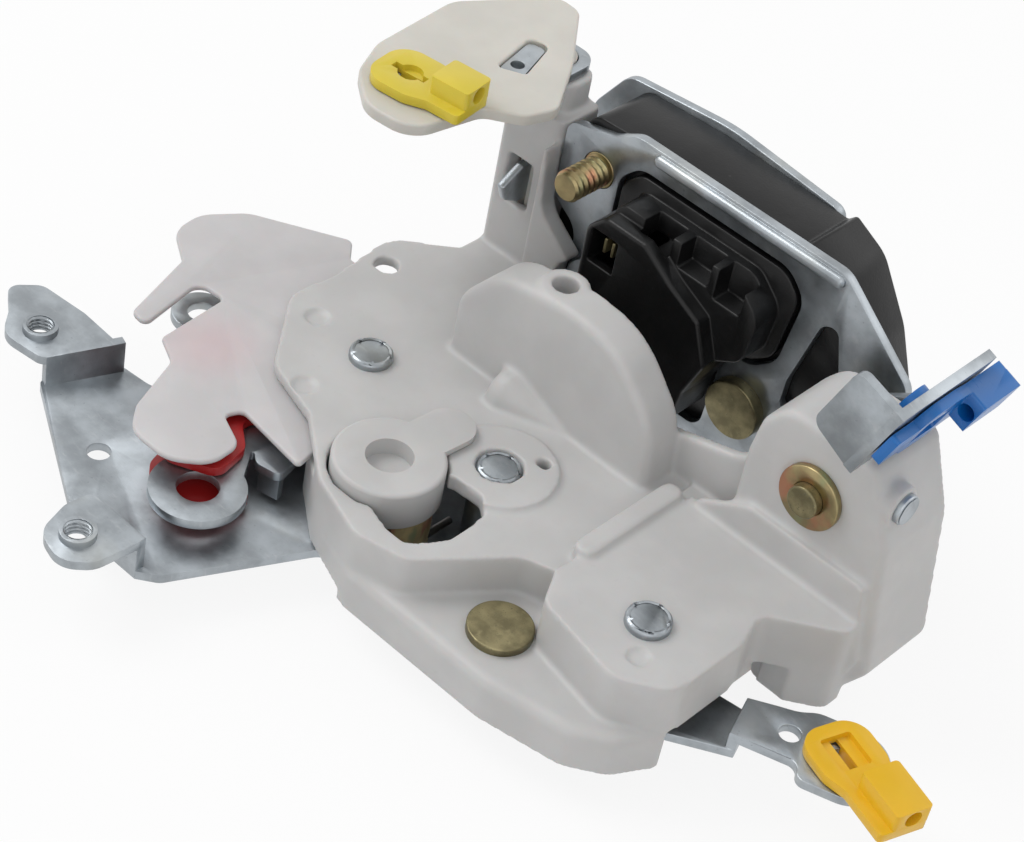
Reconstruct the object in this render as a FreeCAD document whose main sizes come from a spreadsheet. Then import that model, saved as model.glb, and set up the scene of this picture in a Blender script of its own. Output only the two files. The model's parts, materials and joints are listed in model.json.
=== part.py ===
import FreeCAD, Part
import math
import os

from FreeCAD import Placement, Rotation, Vector

# Side-door latch of a light vehicle, with the moulded lever housing that is fixed to it.
#
# Everything is laid out from the housing's own datum: X runs along the latch face, Y towards the
# outer latch face, Z out of the housing's flat top (Z = 0 on that top), with the main lever pivot
# at X = Y = 0. Each body is then moved so that the row's origin is the upper left latch screw on
# the outer face. Lengths are in millimetres.

SIZES = {
    # sheet, mouldings and play
    "gauge": 1.8,                # zinc-plated sheet of the plates and levers
    "wall": 2.2,                 # housing wall
    "top_wall": 2.4,             # housing top over the levers
    "play": 0.4,                 # gap between neighbouring moving layers
    "seat_gap": 0.3,             # gap between bodies that don't touch
    "running_fit": 0.05,         # radial clearance of a lever on its pin
    # housing heights
    "skirt_depth": 16.8,         # from the top down to the skirt's edge
    "ledge_drop": 8.0,           # step down to the pivot ledge
    "pad_rise": 2.0,             # step up to the right-hand pad
    "hood_height": 23.5,
    "hood_front": 13.3,          # Y of the hood's flat front
    "hood_length": 47.2,
    "hood_depth": 8.2,
    "box_front": 18.0,           # Y of the lever box's flat front
    "box_rear": 35.5,
    "column_height": 34.2,
    "turret_height": 40.4,
    # levers under the top
    "lock_plate_thickness": 1.2,
    "lock_play": 1.2,            # gap from the thin lock plate down to the red lever
    "lock_lever_thickness": 1.8,
    "pivot_pin_radius": 3.0,
    "rivet_head_radius": 4.0,
    "rivet_head_height": 1.4,
    "eye_reach": 40.8,           # handle lever: pivot to cable eye
    "eye_radius": 8.5,
    "eye_hole_radius": 3.75,
    "knob_eye_reach": 36.0,
    "knob_eye_radius": 5.6,
    "knob_hole_radius": 2.6,
    # hub lever
    "hub_x": 22.0,
    "hub_y": -17.5,
    "hub_radius": 10.0,
    "hub_rise": 2.5,
    "hub_bore_radius": 4.25,
    "hub_arm_reach": 13.6,
    "sleeve_radius": 5.9,
    "sleeve_wall": 1.2,
    "spring_wire": 1.4,
    "spring_coil_radius": 7.15,
    "cup_radius": 9.0,           # open cup round the spring
    "cup_wall": 0.7,
    # pad rivet, lower lever, ledge pin
    "plate_rivet_x": 34.2,
    "plate_rivet_y": -2.7,
    "pad_disc_radius": 10.5,
    "lower_pivot_x": 75.6,
    "lower_pivot_y": -11.5,
    "lower_reach": 36.8,         # lower lever: pivot to clip hole
    "lower_end_radius": 7.8,
    "lower_slant": 19.7,         # rest direction from the X axis, degrees
    "ledge_pin_x": 56.1,
    "ledge_pin_y": -23.9,
    "brass_head_radius": 5.75,
    "brass_head_height": 1.5,
    # latch block
    "latch_back": 42.0,          # Y of the back plate's inner face
    "latch_depth": 14.0,         # moulded body between the two plates
    "latch_top": 41.0,           # Z of the plates' top edge
    "latch_bottom": -15.0,
    "fork_x": 14.0,
    "fork_z": 6.0,
    "fork_rim_radius": 27.0,
    "fork_thickness": 5.0,
    "throat_x": 30.0,
    "throat_width": 10.0,
    "throat_top": 18.0,
    "striker_slot": 9.0,
    "pawl_x": 50.5,
    "pawl_z": 2.5,
    "latch_pin_radius": 4.0,
    "screw_x": 8.0,
    "screw_z": 32.5,
    "screw_step_x": 38.5,
    "screw_step_z": 43.0,
    "screw_hole_radius": 2.5,    # tapping radius of an M6 thread
    "stud_x": 10.2,
    "stud_z": 29.6,
    "stud_radius": 3.0,
    "stud_length": 9.0,
    "stud_shoulder": 0.5,        # pressed shank in the back plate
    # rear cover
    "cover_rise": 10.0,
    "cover_top": 30.0,
    # key lever on the column
    "key_pivot_x": -6.8,
    "key_pivot_y": 47.0,
    "key_plate_top": 45.1,
    "key_plate_thickness": 2.2,
    "key_boss_radius": 3.4,
    # outside handle lever
    "handle_pivot_x": 82.0,
    "handle_pivot_z": 18.4,
    "handle_pin_radius": 3.0,
    "washer_radius": 6.0,
    "handle_tab_front": 12.5,
    "handle_slant": 20.8,        # tilt of the arm from the Z axis, degrees
    # base bracket
    "lug_rise": 6.8,
    "lug_hole_radius": 2.1,      # tapping radius of an M5 thread
    "lug_collar_radius": 3.2,
    "lug_collar_height": 1.4,
    # rod clips
    "clip_rod_radius": 1.6,
    "clip_stem_radius": 2.4,
    "clip_ring_radius": 6.2,
}

doc = FreeCAD.newDocument("door_latch")
sheet = doc.addObject("Spreadsheet::Sheet", "sizes")
for row, (name, value) in enumerate(SIZES.items(), start=1):
    sheet.set(f"A{row}", name)
    sheet.set(f"B{row}", str(value))
    sheet.setAlias(f"B{row}", name)
doc.recompute()


class Length:
    """A length in mm together with the sheet formula that gives it."""

    def __init__(self, value, formula):
        self.value = value
        self.formula = formula

    def __float__(self):
        return float(self.value)

    def combine(self, sign, other, swap=False):
        other = as_length(other)
        left, right = (other, self) if swap else (self, other)
        value = left.value + right.value if sign == "+" else left.value - right.value
        return Length(value, f"({left.formula} {sign} {right.formula})")

    def __add__(self, other):
        return self.combine("+", other)

    def __radd__(self, other):
        return self.combine("+", other, swap=True)

    def __sub__(self, other):
        return self.combine("-", other)

    def __rsub__(self, other):
        return self.combine("-", other, swap=True)

    def __neg__(self):
        return 0 - self


def as_length(number):
    if isinstance(number, Length):
        return number
    return Length(float(number), f"({float(number)})")


def size(name):
    return Length(float(sheet.get(name)), f"sizes.{name}")


def mm(name):
    return float(sheet.get(name))


# Outlines. A corner is (x, y) or (x, y, radius), and radii are limited by the sides beside them.


def outline(*corners):
    points = [Vector(c[0], c[1], 0) for c in corners]
    radii = [c[2] if len(c) > 2 else 0.0 for c in corners]
    count = len(points)
    leave, arrive, arcs = [], [], []
    for i, corner in enumerate(points):
        back = points[i - 1] - corner
        ahead = points[(i + 1) % count] - corner
        half = back.getAngle(ahead) / 2
        reach = radii[i] / math.tan(half)
        reach = min(reach, 0.49 * back.Length, 0.49 * ahead.Length)
        radius = reach * math.tan(half)
        back.normalize()
        ahead.normalize()
        arrive.append(corner + back * reach)
        leave.append(corner + ahead * reach)
        if radius > 0.01:
            bisector = back + ahead
            bisector.normalize()
            middle = corner + bisector * (radius / math.sin(half) - radius)
            arcs.append(Part.Arc(arrive[i], middle, leave[i]))
    edges = list(arcs)
    for i in range(count):
        start, end = leave[i], arrive[(i + 1) % count]
        if start.distanceToPoint(end) > 0.001:
            edges.append(Part.LineSegment(start, end))
    return edges


def circle(x, y, radius):
    return [Part.Circle(Vector(x, y, 0), Vector(0, 0, 1), float(radius))]


def box_outline(x0, y0, x1, y1, radius=0.0):
    return outline((x0, y0, radius), (x1, y0, radius), (x1, y1, radius), (x0, y1, radius))


def link_outline(start, end, width, end_radius, start_radius):
    """A strap between two round ends, each end drawn as a many-cornered arc's tangent box."""
    along = Vector(end[0] - start[0], end[1] - start[1], 0)
    along.normalize()
    side = Vector(-along.y, along.x, 0)

    def at(origin, forward, across, radius=0.0):
        spot = Vector(origin[0], origin[1], 0) + along * forward + side * across
        return (spot.x, spot.y, radius)

    half = width / 2
    a, b = start_radius, end_radius
    return outline(
        at(start, -a, -a, a), at(start, a, -a, a / 2), at(start, a + a / 3, -half, a / 3),
        at(end, -b - b / 3, -half, b / 3), at(end, -b, -b, b / 2), at(end, b, -b, b),
        at(end, b, b, b), at(end, -b, b, b / 2), at(end, -b - b / 3, half, b / 3),
        at(start, a + a / 3, half, a / 3), at(start, a, a, a / 2), at(start, -a, a, a))


# Bodies. Each is built in its own frame, and its Placement carries it into the row's frame.

FACE = size("latch_back") + size("gauge") + size("latch_depth") + size("gauge")
ORIGIN = Vector(mm("screw_x"), float(FACE), mm("screw_z"))
PLANES = {"x": "YZ_Plane", "y": "XZ_Plane", "z": "XY_Plane"}
nodes = []


def new_body(label, at=(0, 0, 0), turn=None):
    body = doc.addObject("PartDesign::Body", label)
    body.Label = label
    body.Placement = Placement(Vector(*[float(c) for c in at]) - ORIGIN, turn or Rotation())
    nodes.append(body)
    return body


def sketch_on(body, axis, level, *loops):
    """A sketch across one axis of the body, at a level on that axis."""
    plane = next(f for f in body.Origin.OriginFeatures if f.Role == PLANES[axis])
    sketch = body.newObject("Sketcher::SketchObject", f"{body.Label}_outline")
    sketch.AttachmentSupport = [(plane, "")]
    sketch.MapMode = "FlatFace"
    offset = -as_length(level) if axis == "y" else as_length(level)
    sketch.setExpression("AttachmentOffset.Base.z", offset.formula)
    for loop in loops:
        sketch.addGeometry(loop, False)
    return sketch


def layer(body, axis, low, high, *loops, cut=False):
    """Adds, or cuts, the outline's prism between two levels on one axis."""
    sketch = sketch_on(body, axis, low, *loops)
    kind = "PartDesign::Pocket" if cut else "PartDesign::Pad"
    feature = body.newObject(kind, f"{body.Label}_{'cut' if cut else 'pad'}")
    feature.Profile = sketch
    feature.Reversed = (axis == "y") != cut
    feature.setExpression("Length", (as_length(high) - as_length(low)).formula)
    sketch.Visibility = False
    return feature


def cut(body, axis, low, high, *loops):
    return layer(body, axis, low, high, *loops, cut=True)


def soften(body, radius, wanted):
    """Rounds the edges that the test picks from the body's present shape."""
    doc.recompute()
    tip = body.Tip
    picked = [f"Edge{i}" for i, edge in enumerate(tip.Shape.Edges, start=1) if wanted(edge)]
    fillet = body.newObject("PartDesign::Fillet", f"{body.Label}_rounding")
    fillet.Base = (tip, picked)
    fillet.Radius = radius
    return fillet


def lies_at(edge, axis, level, tolerance=0.01):
    box = edge.BoundBox
    low, high = getattr(box, f"{axis.upper()}Min"), getattr(box, f"{axis.upper()}Max")
    return abs(low - level) < tolerance and abs(high - level) < tolerance


def coil(body, mean_radius, wire, height, turns):
    """A helical coil about the body's Z axis, from its origin upwards."""
    sketch = sketch_on(body, "y", 0, circle(mean_radius, 0, wire / 2))
    helix = body.newObject("PartDesign::AdditiveHelix", f"{body.Label}_coil")
    helix.Profile = sketch
    helix.ReferenceAxis = (sketch, ["V_Axis"])
    helix.Mode = "height-turns-angle"
    helix.Height = height
    helix.Turns = turns
    sketch.Visibility = False
    return helix


# Levels of the lever stack under the housing top, from the top down.

TOP_UNDER = -size("top_wall")
LOCK_TOP = TOP_UNDER - size("play")
LOCK_LOW = LOCK_TOP - size("lock_plate_thickness")
RED_TOP = LOCK_LOW - size("lock_play")
RED_LOW = RED_TOP - size("lock_lever_thickness")
EYE_TOP = RED_LOW - size("play")
EYE_LOW = EYE_TOP - size("gauge")
KNOB_TOP = EYE_LOW - size("play")
KNOB_LOW = KNOB_TOP - size("gauge")
SKIRT_LOW = -size("skirt_depth")
BASE_TOP = SKIRT_LOW + size("gauge")
LEDGE_TOP = -size("ledge_drop")
LOWER_LOW = BASE_TOP + size("play")
LOWER_TOP = LOWER_LOW + size("gauge")
PAD_TOP = size("pad_rise")

PIN = mm("pivot_pin_radius")
LEVER_BORE = PIN + mm("running_fit")
HOLE = PIN + 0.02
HUB = (mm("hub_x"), mm("hub_y"))
PLATE_RIVET = (mm("plate_rivet_x"), mm("plate_rivet_y"))
LOWER_PIVOT = (mm("lower_pivot_x"), mm("lower_pivot_y"))
LEDGE_PIN = (mm("ledge_pin_x"), mm("ledge_pin_y"))
SIDE_SEAT = as_length(96.0)
HANDLE_PIVOT = (mm("handle_pivot_x"), mm("handle_pivot_z"))
KEY_PIVOT = (mm("key_pivot_x"), mm("key_pivot_y"))
FORK = (mm("fork_x"), mm("fork_z"))
PAWL = (mm("pawl_x"), mm("pawl_z"))
BACK = size("latch_back")
BODY_BACK = BACK + size("gauge")
BODY_FACE = BODY_BACK + size("latch_depth")


def housing():
    body = new_body("main_housing")
    wall = mm("wall")
    plate_y = mm("latch_back")
    # hood: a D-shaped cover in front of the latch
    left = 6.1
    right = left + mm("hood_length")
    high = mm("hood_height")
    depth = size("hood_depth")
    front = size("hood_front")
    layer(body, "y", front, front + depth, outline(
        (left, -1), (right, -1), (right - 1, 12, 14), (right - 12, high, 16),
        ((left + right) / 2, high + 1.5, 60), (left + 8, high - 1.5, 10), (left, 12, 8)))
    soften(body, 1.6, lambda e: lies_at(e, "y", float(front)) and e.BoundBox.ZMax > 3)
    cut(body, "y", front + size("wall"), front + depth + 1, outline(
        (left + wall, -0.5), (right - wall, -0.5), (right - wall - 1, 11.5, 12),
        (right - wall - 11, high - wall, 14), ((left + right) / 2, high - wall + 1.3, 50),
        (left + wall + 7, high - wall - 1.5, 8), (left + wall, 11.5, 6)))
    # lever box: open at the rear and above where the handle lever's arm stands
    box_front, box_rear = size("box_front"), size("box_rear")
    layer(body, "y", box_front, box_rear, outline(
        (67.7, -2, 2), (67.7, 18, 4), (68.8, 25.5, 5), (73, 31, 6), (91.4, 31, 3), (97.4, 17, 4),
        (101.4, -9, 4), (97.6, -15, 3), (93.6, -22, 4), (79.6, -22, 3), (79.6, -8, 2),
        (70, -8, 2)))
    soften(body, 1.4, lambda e: lies_at(e, "y", float(box_front)))
    layer(body, "y", box_front - 1.6, box_front, outline(
        (62, 0), (62, 3, 1), (72, 9, 2), (96.6, 9, 1), (99.6, -6, 2), (95, -20, 3),
        (89.4, -24, 3), (81, -24, 2), (81, -9.6), (88.5, -9.6), (88.5, 0)))
    cut(body, "y", box_front + size("wall"), box_rear + 1, outline(
        (69.9, 0, 1), (69.9, 17.6, 3), (71, 24.6, 4), (74, 28.8, 4), (89.9, 28.8, 2),
        (95, 16.6, 3), (99, -8.6, 3), (95.6, -14, 2), (92.4, -19.8, 3), (81.8, -19.8, 2),
        (81.8, -5.8, 1), (70, -5.8, 1)))
    # outer footprint of the skirted tray, and the cavity under it
    tray = [(4, -19, 1), (17, -29, 6), (30, -34, 6), (62, -34.2, 8), (78, -31, 6), (84.5, -26.5, 5),
            (88.5, -19, 4), (88.5, 5, 2), (58, 17.8, 1), (4, 17.8, 1)]
    layer(body, "z", SKIRT_LOW, LEDGE_TOP, outline(*tray))
    soften(body, 2.0, lambda e: lies_at(e, "z", float(LEDGE_TOP)) and e.BoundBox.YMax < 4)
    # flat top with the levers below it, carried on to the latch block
    top = outline((-22.6, 27, 7), (-20.6, 10, 6), (-21.8, 1, 7), (-9, -15.2, 7), (6, -19.6, 5),
                  (24.5, -29.2, 6), (38.5, -29.8, 4), (51, -14.8, 4), (60, -12, 3),
                  (60, 23.4), (54, 26, 3), (54, 30.5, 2),
                  (16, 30.5, 2), (16, plate_y), (-11.6, plate_y), (-12.6, 36, 4))
    layer(body, "z", SKIRT_LOW, 0, outline(
        (4, -19, 1), (17, -29, 6), (30, -33.4, 6), (40, -31, 4), (51.5, -15, 4), (60, -12, 2),
        (60, 17.8), (4, 17.8)))
    layer(body, "z", TOP_UNDER, 0, top)
    # right-hand pad, one step higher
    layer(body, "z", SKIRT_LOW, PAD_TOP, outline(
        (57.5, -14, 4), (61.5, -21.5, 4), (80, -25.2, 6), (88.5, -19.5, 6), (88.5, -2, 3),
        (86.2, 5, 3), (98.2, 13.6, 3), (98.2, 17.8), (60.5, 17.8)))
    layer(body, "z", 0, PAD_TOP + 1.4, outline(
        (56, -9, 1.6), (60, -9, 1.6), (60, 16.5, 1.9), (56, 16.5, 1.9)))
    # cavity under the tray, ledge and pad, open at the left where the levers come out
    inner = [(3, -16.4), (17.8, -26.4, 4), (30.5, -31.4, 4), (61.8, -31.8, 6), (77, -28.8, 5),
             (82.6, -25, 4), (86.3, -18.4, 3), (86.3, 15.4), (3, 15.4)]
    cut(body, "z", SKIRT_LOW, LEDGE_TOP - size("wall"), outline(*inner))
    cut(body, "z", SKIRT_LOW, TOP_UNDER, outline(
        (3, -16.2), (18.2, -26.2, 4), (30, -30.4, 4), (38.8, -28.4, 3), (49.4, -13.2, 3),
        (58, -10, 1), (58, 15.4), (3, 15.4)))
    cut(body, "z", SKIRT_LOW, PAD_TOP - size("top_wall"), outline(
        (60, -12, 3), (63, -19.2, 3), (79.2, -22.6, 4), (86.3, -17.8, 4), (86.3, 15.4),
        (62, 15.4)))
    cut(body, "z", SKIRT_LOW, TOP_UNDER, box_outline(1, -14, 40, 19))
    cut(body, "z", SKIRT_LOW, TOP_UNDER, box_outline(1, -26, 6.6, 19))
    # slot in the wall where the thin lock plate comes out, and notches for bracket and lever
    cut(body, "z", LOCK_LOW - size("seat_gap"), TOP_UNDER, outline(
        (-2, -12), (2, -30), (13, -31), (13.4, -25, 1), (9.4, -14)))
    cut(body, "z", SKIRT_LOW, BASE_TOP + size("seat_gap"), outline(
        (-2, -12), (-2, -26), (24, -42), (30, -30), (12, -13)))
    cut(body, "z", SKIRT_LOW, LOWER_TOP + 3.8, box_outline(84, -18, 92, 9.5))
    # column that carries the key lever, with its base flare
    column = outline((-12.8, 41.5, 1.5), (1.2, 41.5, 2), (1.2, 52, 1.5), (-12.8, 52, 1.5))
    layer(body, "z", TOP_UNDER, size("column_height"), column)
    layer(body, "z", size("column_height"), size("turret_height"),
          outline((-12, 42.8, 3), (-0.6, 42.8, 3), (-0.6, 51.6, 3), (-12, 51.6, 3)))
    layer(body, "z", TOP_UNDER, 0, outline((-13, 34), (5, 34), (5, plate_y), (1.2, plate_y),
                                           (1.2, 52, 2), (-12.8, 52, 3)))
    layer(body, "y", 38, plate_y, outline((0.4, 0), (16, 0, 3), (13, 9, 6), (2.4, 17, 6),
                                          (1.2, 30), (0.4, 30)))
    # screw boss on the hood and the cone at the foot of its front
    layer(body, "z", 14, high + 0.6, circle(24.6, 19, 4.4))
    # low wall from the hood to the lever box
    layer(body, "y", 21.2, 23.4, outline((46, -1), (70, -1), (70, 16), (64, 12, 4), (49, 7.4, 2),
                                         (46, 7.4)))
    layer(body, "z", TOP_UNDER, 1, outline((58, 15), (69, 15), (69, 23.4), (58, 23.4)))
    # cone that stiffens the foot of the hood
    cone = sketch_on(body, "z", 0, outline((19.5, 0), (36.5, 0), (22.6, -5.6, 2), (19.5, -5.2, 2)))
    cone.setExpression("AttachmentOffset.Base.y", size("hood_front").formula)
    sweep = body.newObject("PartDesign::Revolution", "main_housing_cone")
    sweep.Profile = cone
    sweep.ReferenceAxis = (cone, ["H_Axis"])
    sweep.Angle = 90
    sweep.Reversed = True
    cone.Visibility = False
    # holes: pivots, hub and window, washer pin, square and slot openings, dimples
    cut(body, "z", TOP_UNDER - 1, PAD_TOP + 1, circle(0, 0, HOLE))
    layer(body, "z", TOP_UNDER, 1.0, circle(*PLATE_RIVET, mm("pad_disc_radius")))
    cut(body, "z", -0.8, 2, circle(*PLATE_RIVET, mm("rivet_head_radius") + 0.25))
    cut(body, "z", TOP_UNDER - 1, 2, circle(*PLATE_RIVET, HOLE))
    cut(body, "z", TOP_UNDER - 1, PAD_TOP + 1, circle(*LOWER_PIVOT, HOLE))
    cut(body, "z", LEDGE_TOP - 4, LEDGE_TOP + 1, circle(*LEDGE_PIN, HOLE))
    cut(body, "z", -6, 3, circle(*HUB, mm("hub_radius") + mm("play")))
    cut(body, "z", TOP_UNDER - 1, 3, outline(
        (27, -26.5), (32.6, -28.2, 1), (37, -28.2, 2), (40.8, -22, 4), (40.4, -13, 2),
        (37.6, -10.8, 1), (31, -11)))
    cut(body, "y", box_front - 3, box_front + size("wall") + 1,
        circle(*HANDLE_PIVOT, mm("handle_pin_radius") + 0.02))
    cut(body, "z", TOP_UNDER - 1, 2, circle(-17.1, 20.9, 2.3))
    cut(body, "z", TOP_UNDER - 1, 2, box_outline(-5.6, 16.7, -4.2, 17.6))
    cut(body, "z", TOP_UNDER - 1, 2, box_outline(37.4, 2.7, 39.8, 5.0))
    for x, y in ((-13.8, 0.1), (-1.7, -14.5)):
        cut(body, "z", -0.7, 1, circle(x, y, 2.4))
    cut(body, "z", PAD_TOP - 0.8, PAD_TOP + 1, circle(79.5, -18.2, 2.1))
    cut(body, "z", 16, high + 2, circle(24.6, 19, 2.4))
    # hollow column with the slot that the key link's tab comes out of
    cut(body, "z", -3, size("turret_height") + 1,
        circle(*KEY_PIVOT, mm("key_boss_radius") + mm("running_fit")))
    cut(body, "y", 40, 45, box_outline(-9.6, 11.4, -3.6, 21.8, 0.8))
    cut(body, "y", 37, plate_y + 1, circle(*FORK, 5.9))
    layer(body, "x", 92, SIDE_SEAT, circle(22, 24, 3.8))
    cut(body, "x", 88, 97, circle(22, 24, 2.02))
    return body


def base_plate():
    body = new_body("base_plate")
    g = mm("gauge")
    layer(body, "z", SKIRT_LOW, BASE_TOP, outline(
        (-42.4, -39.2, 1), (-36.9, -24.9, 2), (-29, -24.2, 6), (-22, -18, 8), (-16, 10, 8),
        (4, 14.6),
        (57, 14.6, 3), (82, 8, 4), (82.5, -16, 4), (76, -27.6, 5), (60, -31, 6), (31, -30.8, 6),
        (20.5, -26.4, 4), (7.6, -54.4, 3), (4.2, -57, 1), (-9, -57, 1), (-14.6, -55.4, 3)))
    lug = size("lug_rise")
    # two lugs, each raised on a bent web
    layer(body, "z", SKIRT_LOW, BASE_TOP + lug,
          outline((-42.3, -38.8), (-40.6, -39.4), (-35.4, -25.6), (-37.1, -25)))
    layer(body, "z", SKIRT_LOW + lug, BASE_TOP + lug, outline(
        (-41, -40.2, 2.5), (-35.9, -26.8, 1.5), (-46, -26.2, 6), (-56.6, -27.2, 3),
        (-60.4, -32.2, 2.2), (-54.6, -36.6, 4), (-50.4, -41.4, 5)))
    layer(body, "z", SKIRT_LOW, BASE_TOP + lug,
          outline((-9, -57), (4.2, -57), (4.2, -57 + g), (-9, -57 + g)))
    layer(body, "z", SKIRT_LOW + lug, BASE_TOP + lug, outline(
        (-9.4, -55.2, 1.5), (4.4, -55.2, 1.5), (3.6, -65.6, 5), (-0.4, -70, 5),
        (-7.6, -68, 5), (-10, -60.5, 5)))
    top = BASE_TOP + lug
    for x, y in ((-47, -35.6), (-3, -63.7)):
        layer(body, "z", top, top + size("lug_collar_height"),
              circle(x, y, mm("lug_collar_radius")))
        cut(body, "z", SKIRT_LOW, top + 4, circle(x, y, mm("lug_hole_radius")))
    cut(body, "z", SKIRT_LOW - 1, BASE_TOP + 1, circle(-21.9, -42.8, 2.2))
    for x, y in ((0, 0), PLATE_RIVET, LOWER_PIVOT, LEDGE_PIN):
        cut(body, "z", SKIRT_LOW - 1, BASE_TOP + 1, circle(x, y, HOLE))
    return body


def rivet(label, spot, seat, shoulder=None):
    """Headed pivot: formed heads above its seat and below the base plate, with a shoulder."""
    body = new_body(label, (*spot, 0))
    head = mm("rivet_head_radius")
    rise = size("rivet_head_height")
    layer(body, "z", SKIRT_LOW - 1.2, SKIRT_LOW, circle(0, 0, head))
    layer(body, "z", SKIRT_LOW, seat, circle(0, 0, PIN))
    layer(body, "z", seat, seat + rise, circle(0, 0, head))
    if shoulder is not None:
        layer(body, "z", BASE_TOP, shoulder, circle(0, 0, PIN + 1.6))
    soften(body, 0.7, lambda e: lies_at(e, "z", float(seat + rise)))
    return body


def brass_pin():
    body = new_body("release_pivot_pin", (*LEDGE_PIN, 0))
    head = mm("brass_head_radius")
    rise = size("brass_head_height")
    layer(body, "z", SKIRT_LOW - 1.2, SKIRT_LOW, circle(0, 0, PIN + 1.5))
    layer(body, "z", SKIRT_LOW, LEDGE_TOP, circle(0, 0, PIN))
    layer(body, "z", LEDGE_TOP, LEDGE_TOP + rise, circle(0, 0, head))
    soften(body, 0.3, lambda e: lies_at(e, "z", float(LEDGE_TOP + rise)))
    return body


def lock_plate():
    """Broad thin nylon lever with a finger, two lobes and a hook."""
    body = new_body("lock_plate")
    layer(body, "z", LOCK_LOW, LOCK_TOP, outline(
        (4.5, 8, 6), (-6, 18, 8), (-24.6, 19.4, 1), (-28.4, 23.6, 1.6), (-46, 13.2, 7),
        (-51, 5.4, 7), (-50.2, -1.6, 6), (-42.6, -6.4, 2), (-36.9, -23.4, 1.8),
        (-32.8, -23.8, 1.8), (-36, -8.2, 2.4), (-29.8, -7.6, 1.4), (-28.4, -23.8, 1.2),
        (-22.6, -26.6, 3), (-17.6, -39, 5), (-13.4, -43.8, 6), (-4.4, -43.8, 7),
        (1.2, -38.4, 6), (0.6, -31.6, 3), (-6.6, -28.6, 1.4), (-5.4, -25.3, 1.4),
        (10.6, -27.2, 1), (8.6, -17, 4), (4.5, -6, 4)))
    cut(body, "z", LOCK_LOW - 1, LOCK_TOP + 1, circle(0, 0, LEVER_BORE))
    return body


def lock_lever():
    body = new_body("lock_lever")
    layer(body, "z", RED_LOW, RED_TOP, outline(
        (6.5, 6.5, 5), (-2.4, 10, 2), (-10.6, 8, 3), (-27, 3, 6), (-30, -14, 6), (-16, -22, 6),
        (-15.4, -39, 5), (-6.5, -41.2, 3), (1.8, -37, 3), (0.2, -29.5, 3), (-6.5, -24.5, 3),
        (2, -16, 4), (6.5, -7, 5)))
    # lower leaf below the cable eye, joined to the upper one by a web beside the hub
    leaf = KNOB_LOW - size("play")
    layer(body, "z", leaf - size("lock_lever_thickness") + 0.2, leaf, outline(
        (-1.6, 10, 1), (-9.4, 7.8, 2), (-13.5, -6, 8), (-17, -24, 8), (-12, -40, 4),
        (-6, -45.5, 5), (4.6, -44.5, 5), (5.2, -31.6, 2), (-5.5, -31.6, 3), (-11.4, -22, 5),
        (-9, -6, 6), (-6.4, 2.6, 2), (-1.6, 7.6, 1)))
    layer(body, "z", leaf - 1, RED_TOP - 1, outline(
        (-2.2, 8.9), (-2.2, 9.8), (-9, 7.7), (-8.4, 6.6)))
    cut(body, "z", RED_LOW - 1, RED_TOP + 1, circle(0, 0, LEVER_BORE))
    return body


def handle_lever():
    """Steel lever with the cable eye of the inside handle."""
    body = new_body("inside_handle_lever")
    reach = mm("eye_reach")
    layer(body, "z", EYE_LOW, EYE_TOP, outline(
        (-6.8, -37.5), (-9.6, -24, 6), (-6.4, -4), (6, -4), (5.4, -20, 4), (7.4, -27.8, 1.5),
        (2.4, -28.9, 2), (-1.2, -26.2, 0.8), (4.6, -34.2, 3), (5, -37.5)))
    layer(body, "z", EYE_LOW, EYE_TOP, circle(0, 0, 7.0))
    layer(body, "z", EYE_LOW, EYE_TOP, circle(0.8, -reach, mm("eye_radius")))
    layer(body, "z", EYE_LOW - 4.6, EYE_TOP, outline(
        (6.9, -27.4), (2.8, -28.4), (3.2, -26.8), (6.6, -26)))
    cut(body, "z", EYE_LOW - 1, EYE_TOP + 1, circle(0, 0, LEVER_BORE))
    cut(body, "z", EYE_LOW - 1, EYE_TOP + 1, circle(0.8, -reach, mm("eye_hole_radius")))
    return body


def knob_lever():
    body = new_body("knob_lever", (0, 0, 0))
    reach = mm("knob_eye_reach")
    angle = math.radians(192)
    end = (reach * math.cos(angle), reach * math.sin(angle))
    layer(body, "z", KNOB_LOW, KNOB_TOP,
          link_outline((0, 0), end, 7.6, mm("knob_eye_radius"), 7.0))
    cut(body, "z", KNOB_LOW - 1, KNOB_TOP + 1, circle(0, 0, LEVER_BORE))
    cut(body, "z", KNOB_LOW - 1, KNOB_TOP + 1, circle(*end, mm("knob_hole_radius")))
    return body


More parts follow.
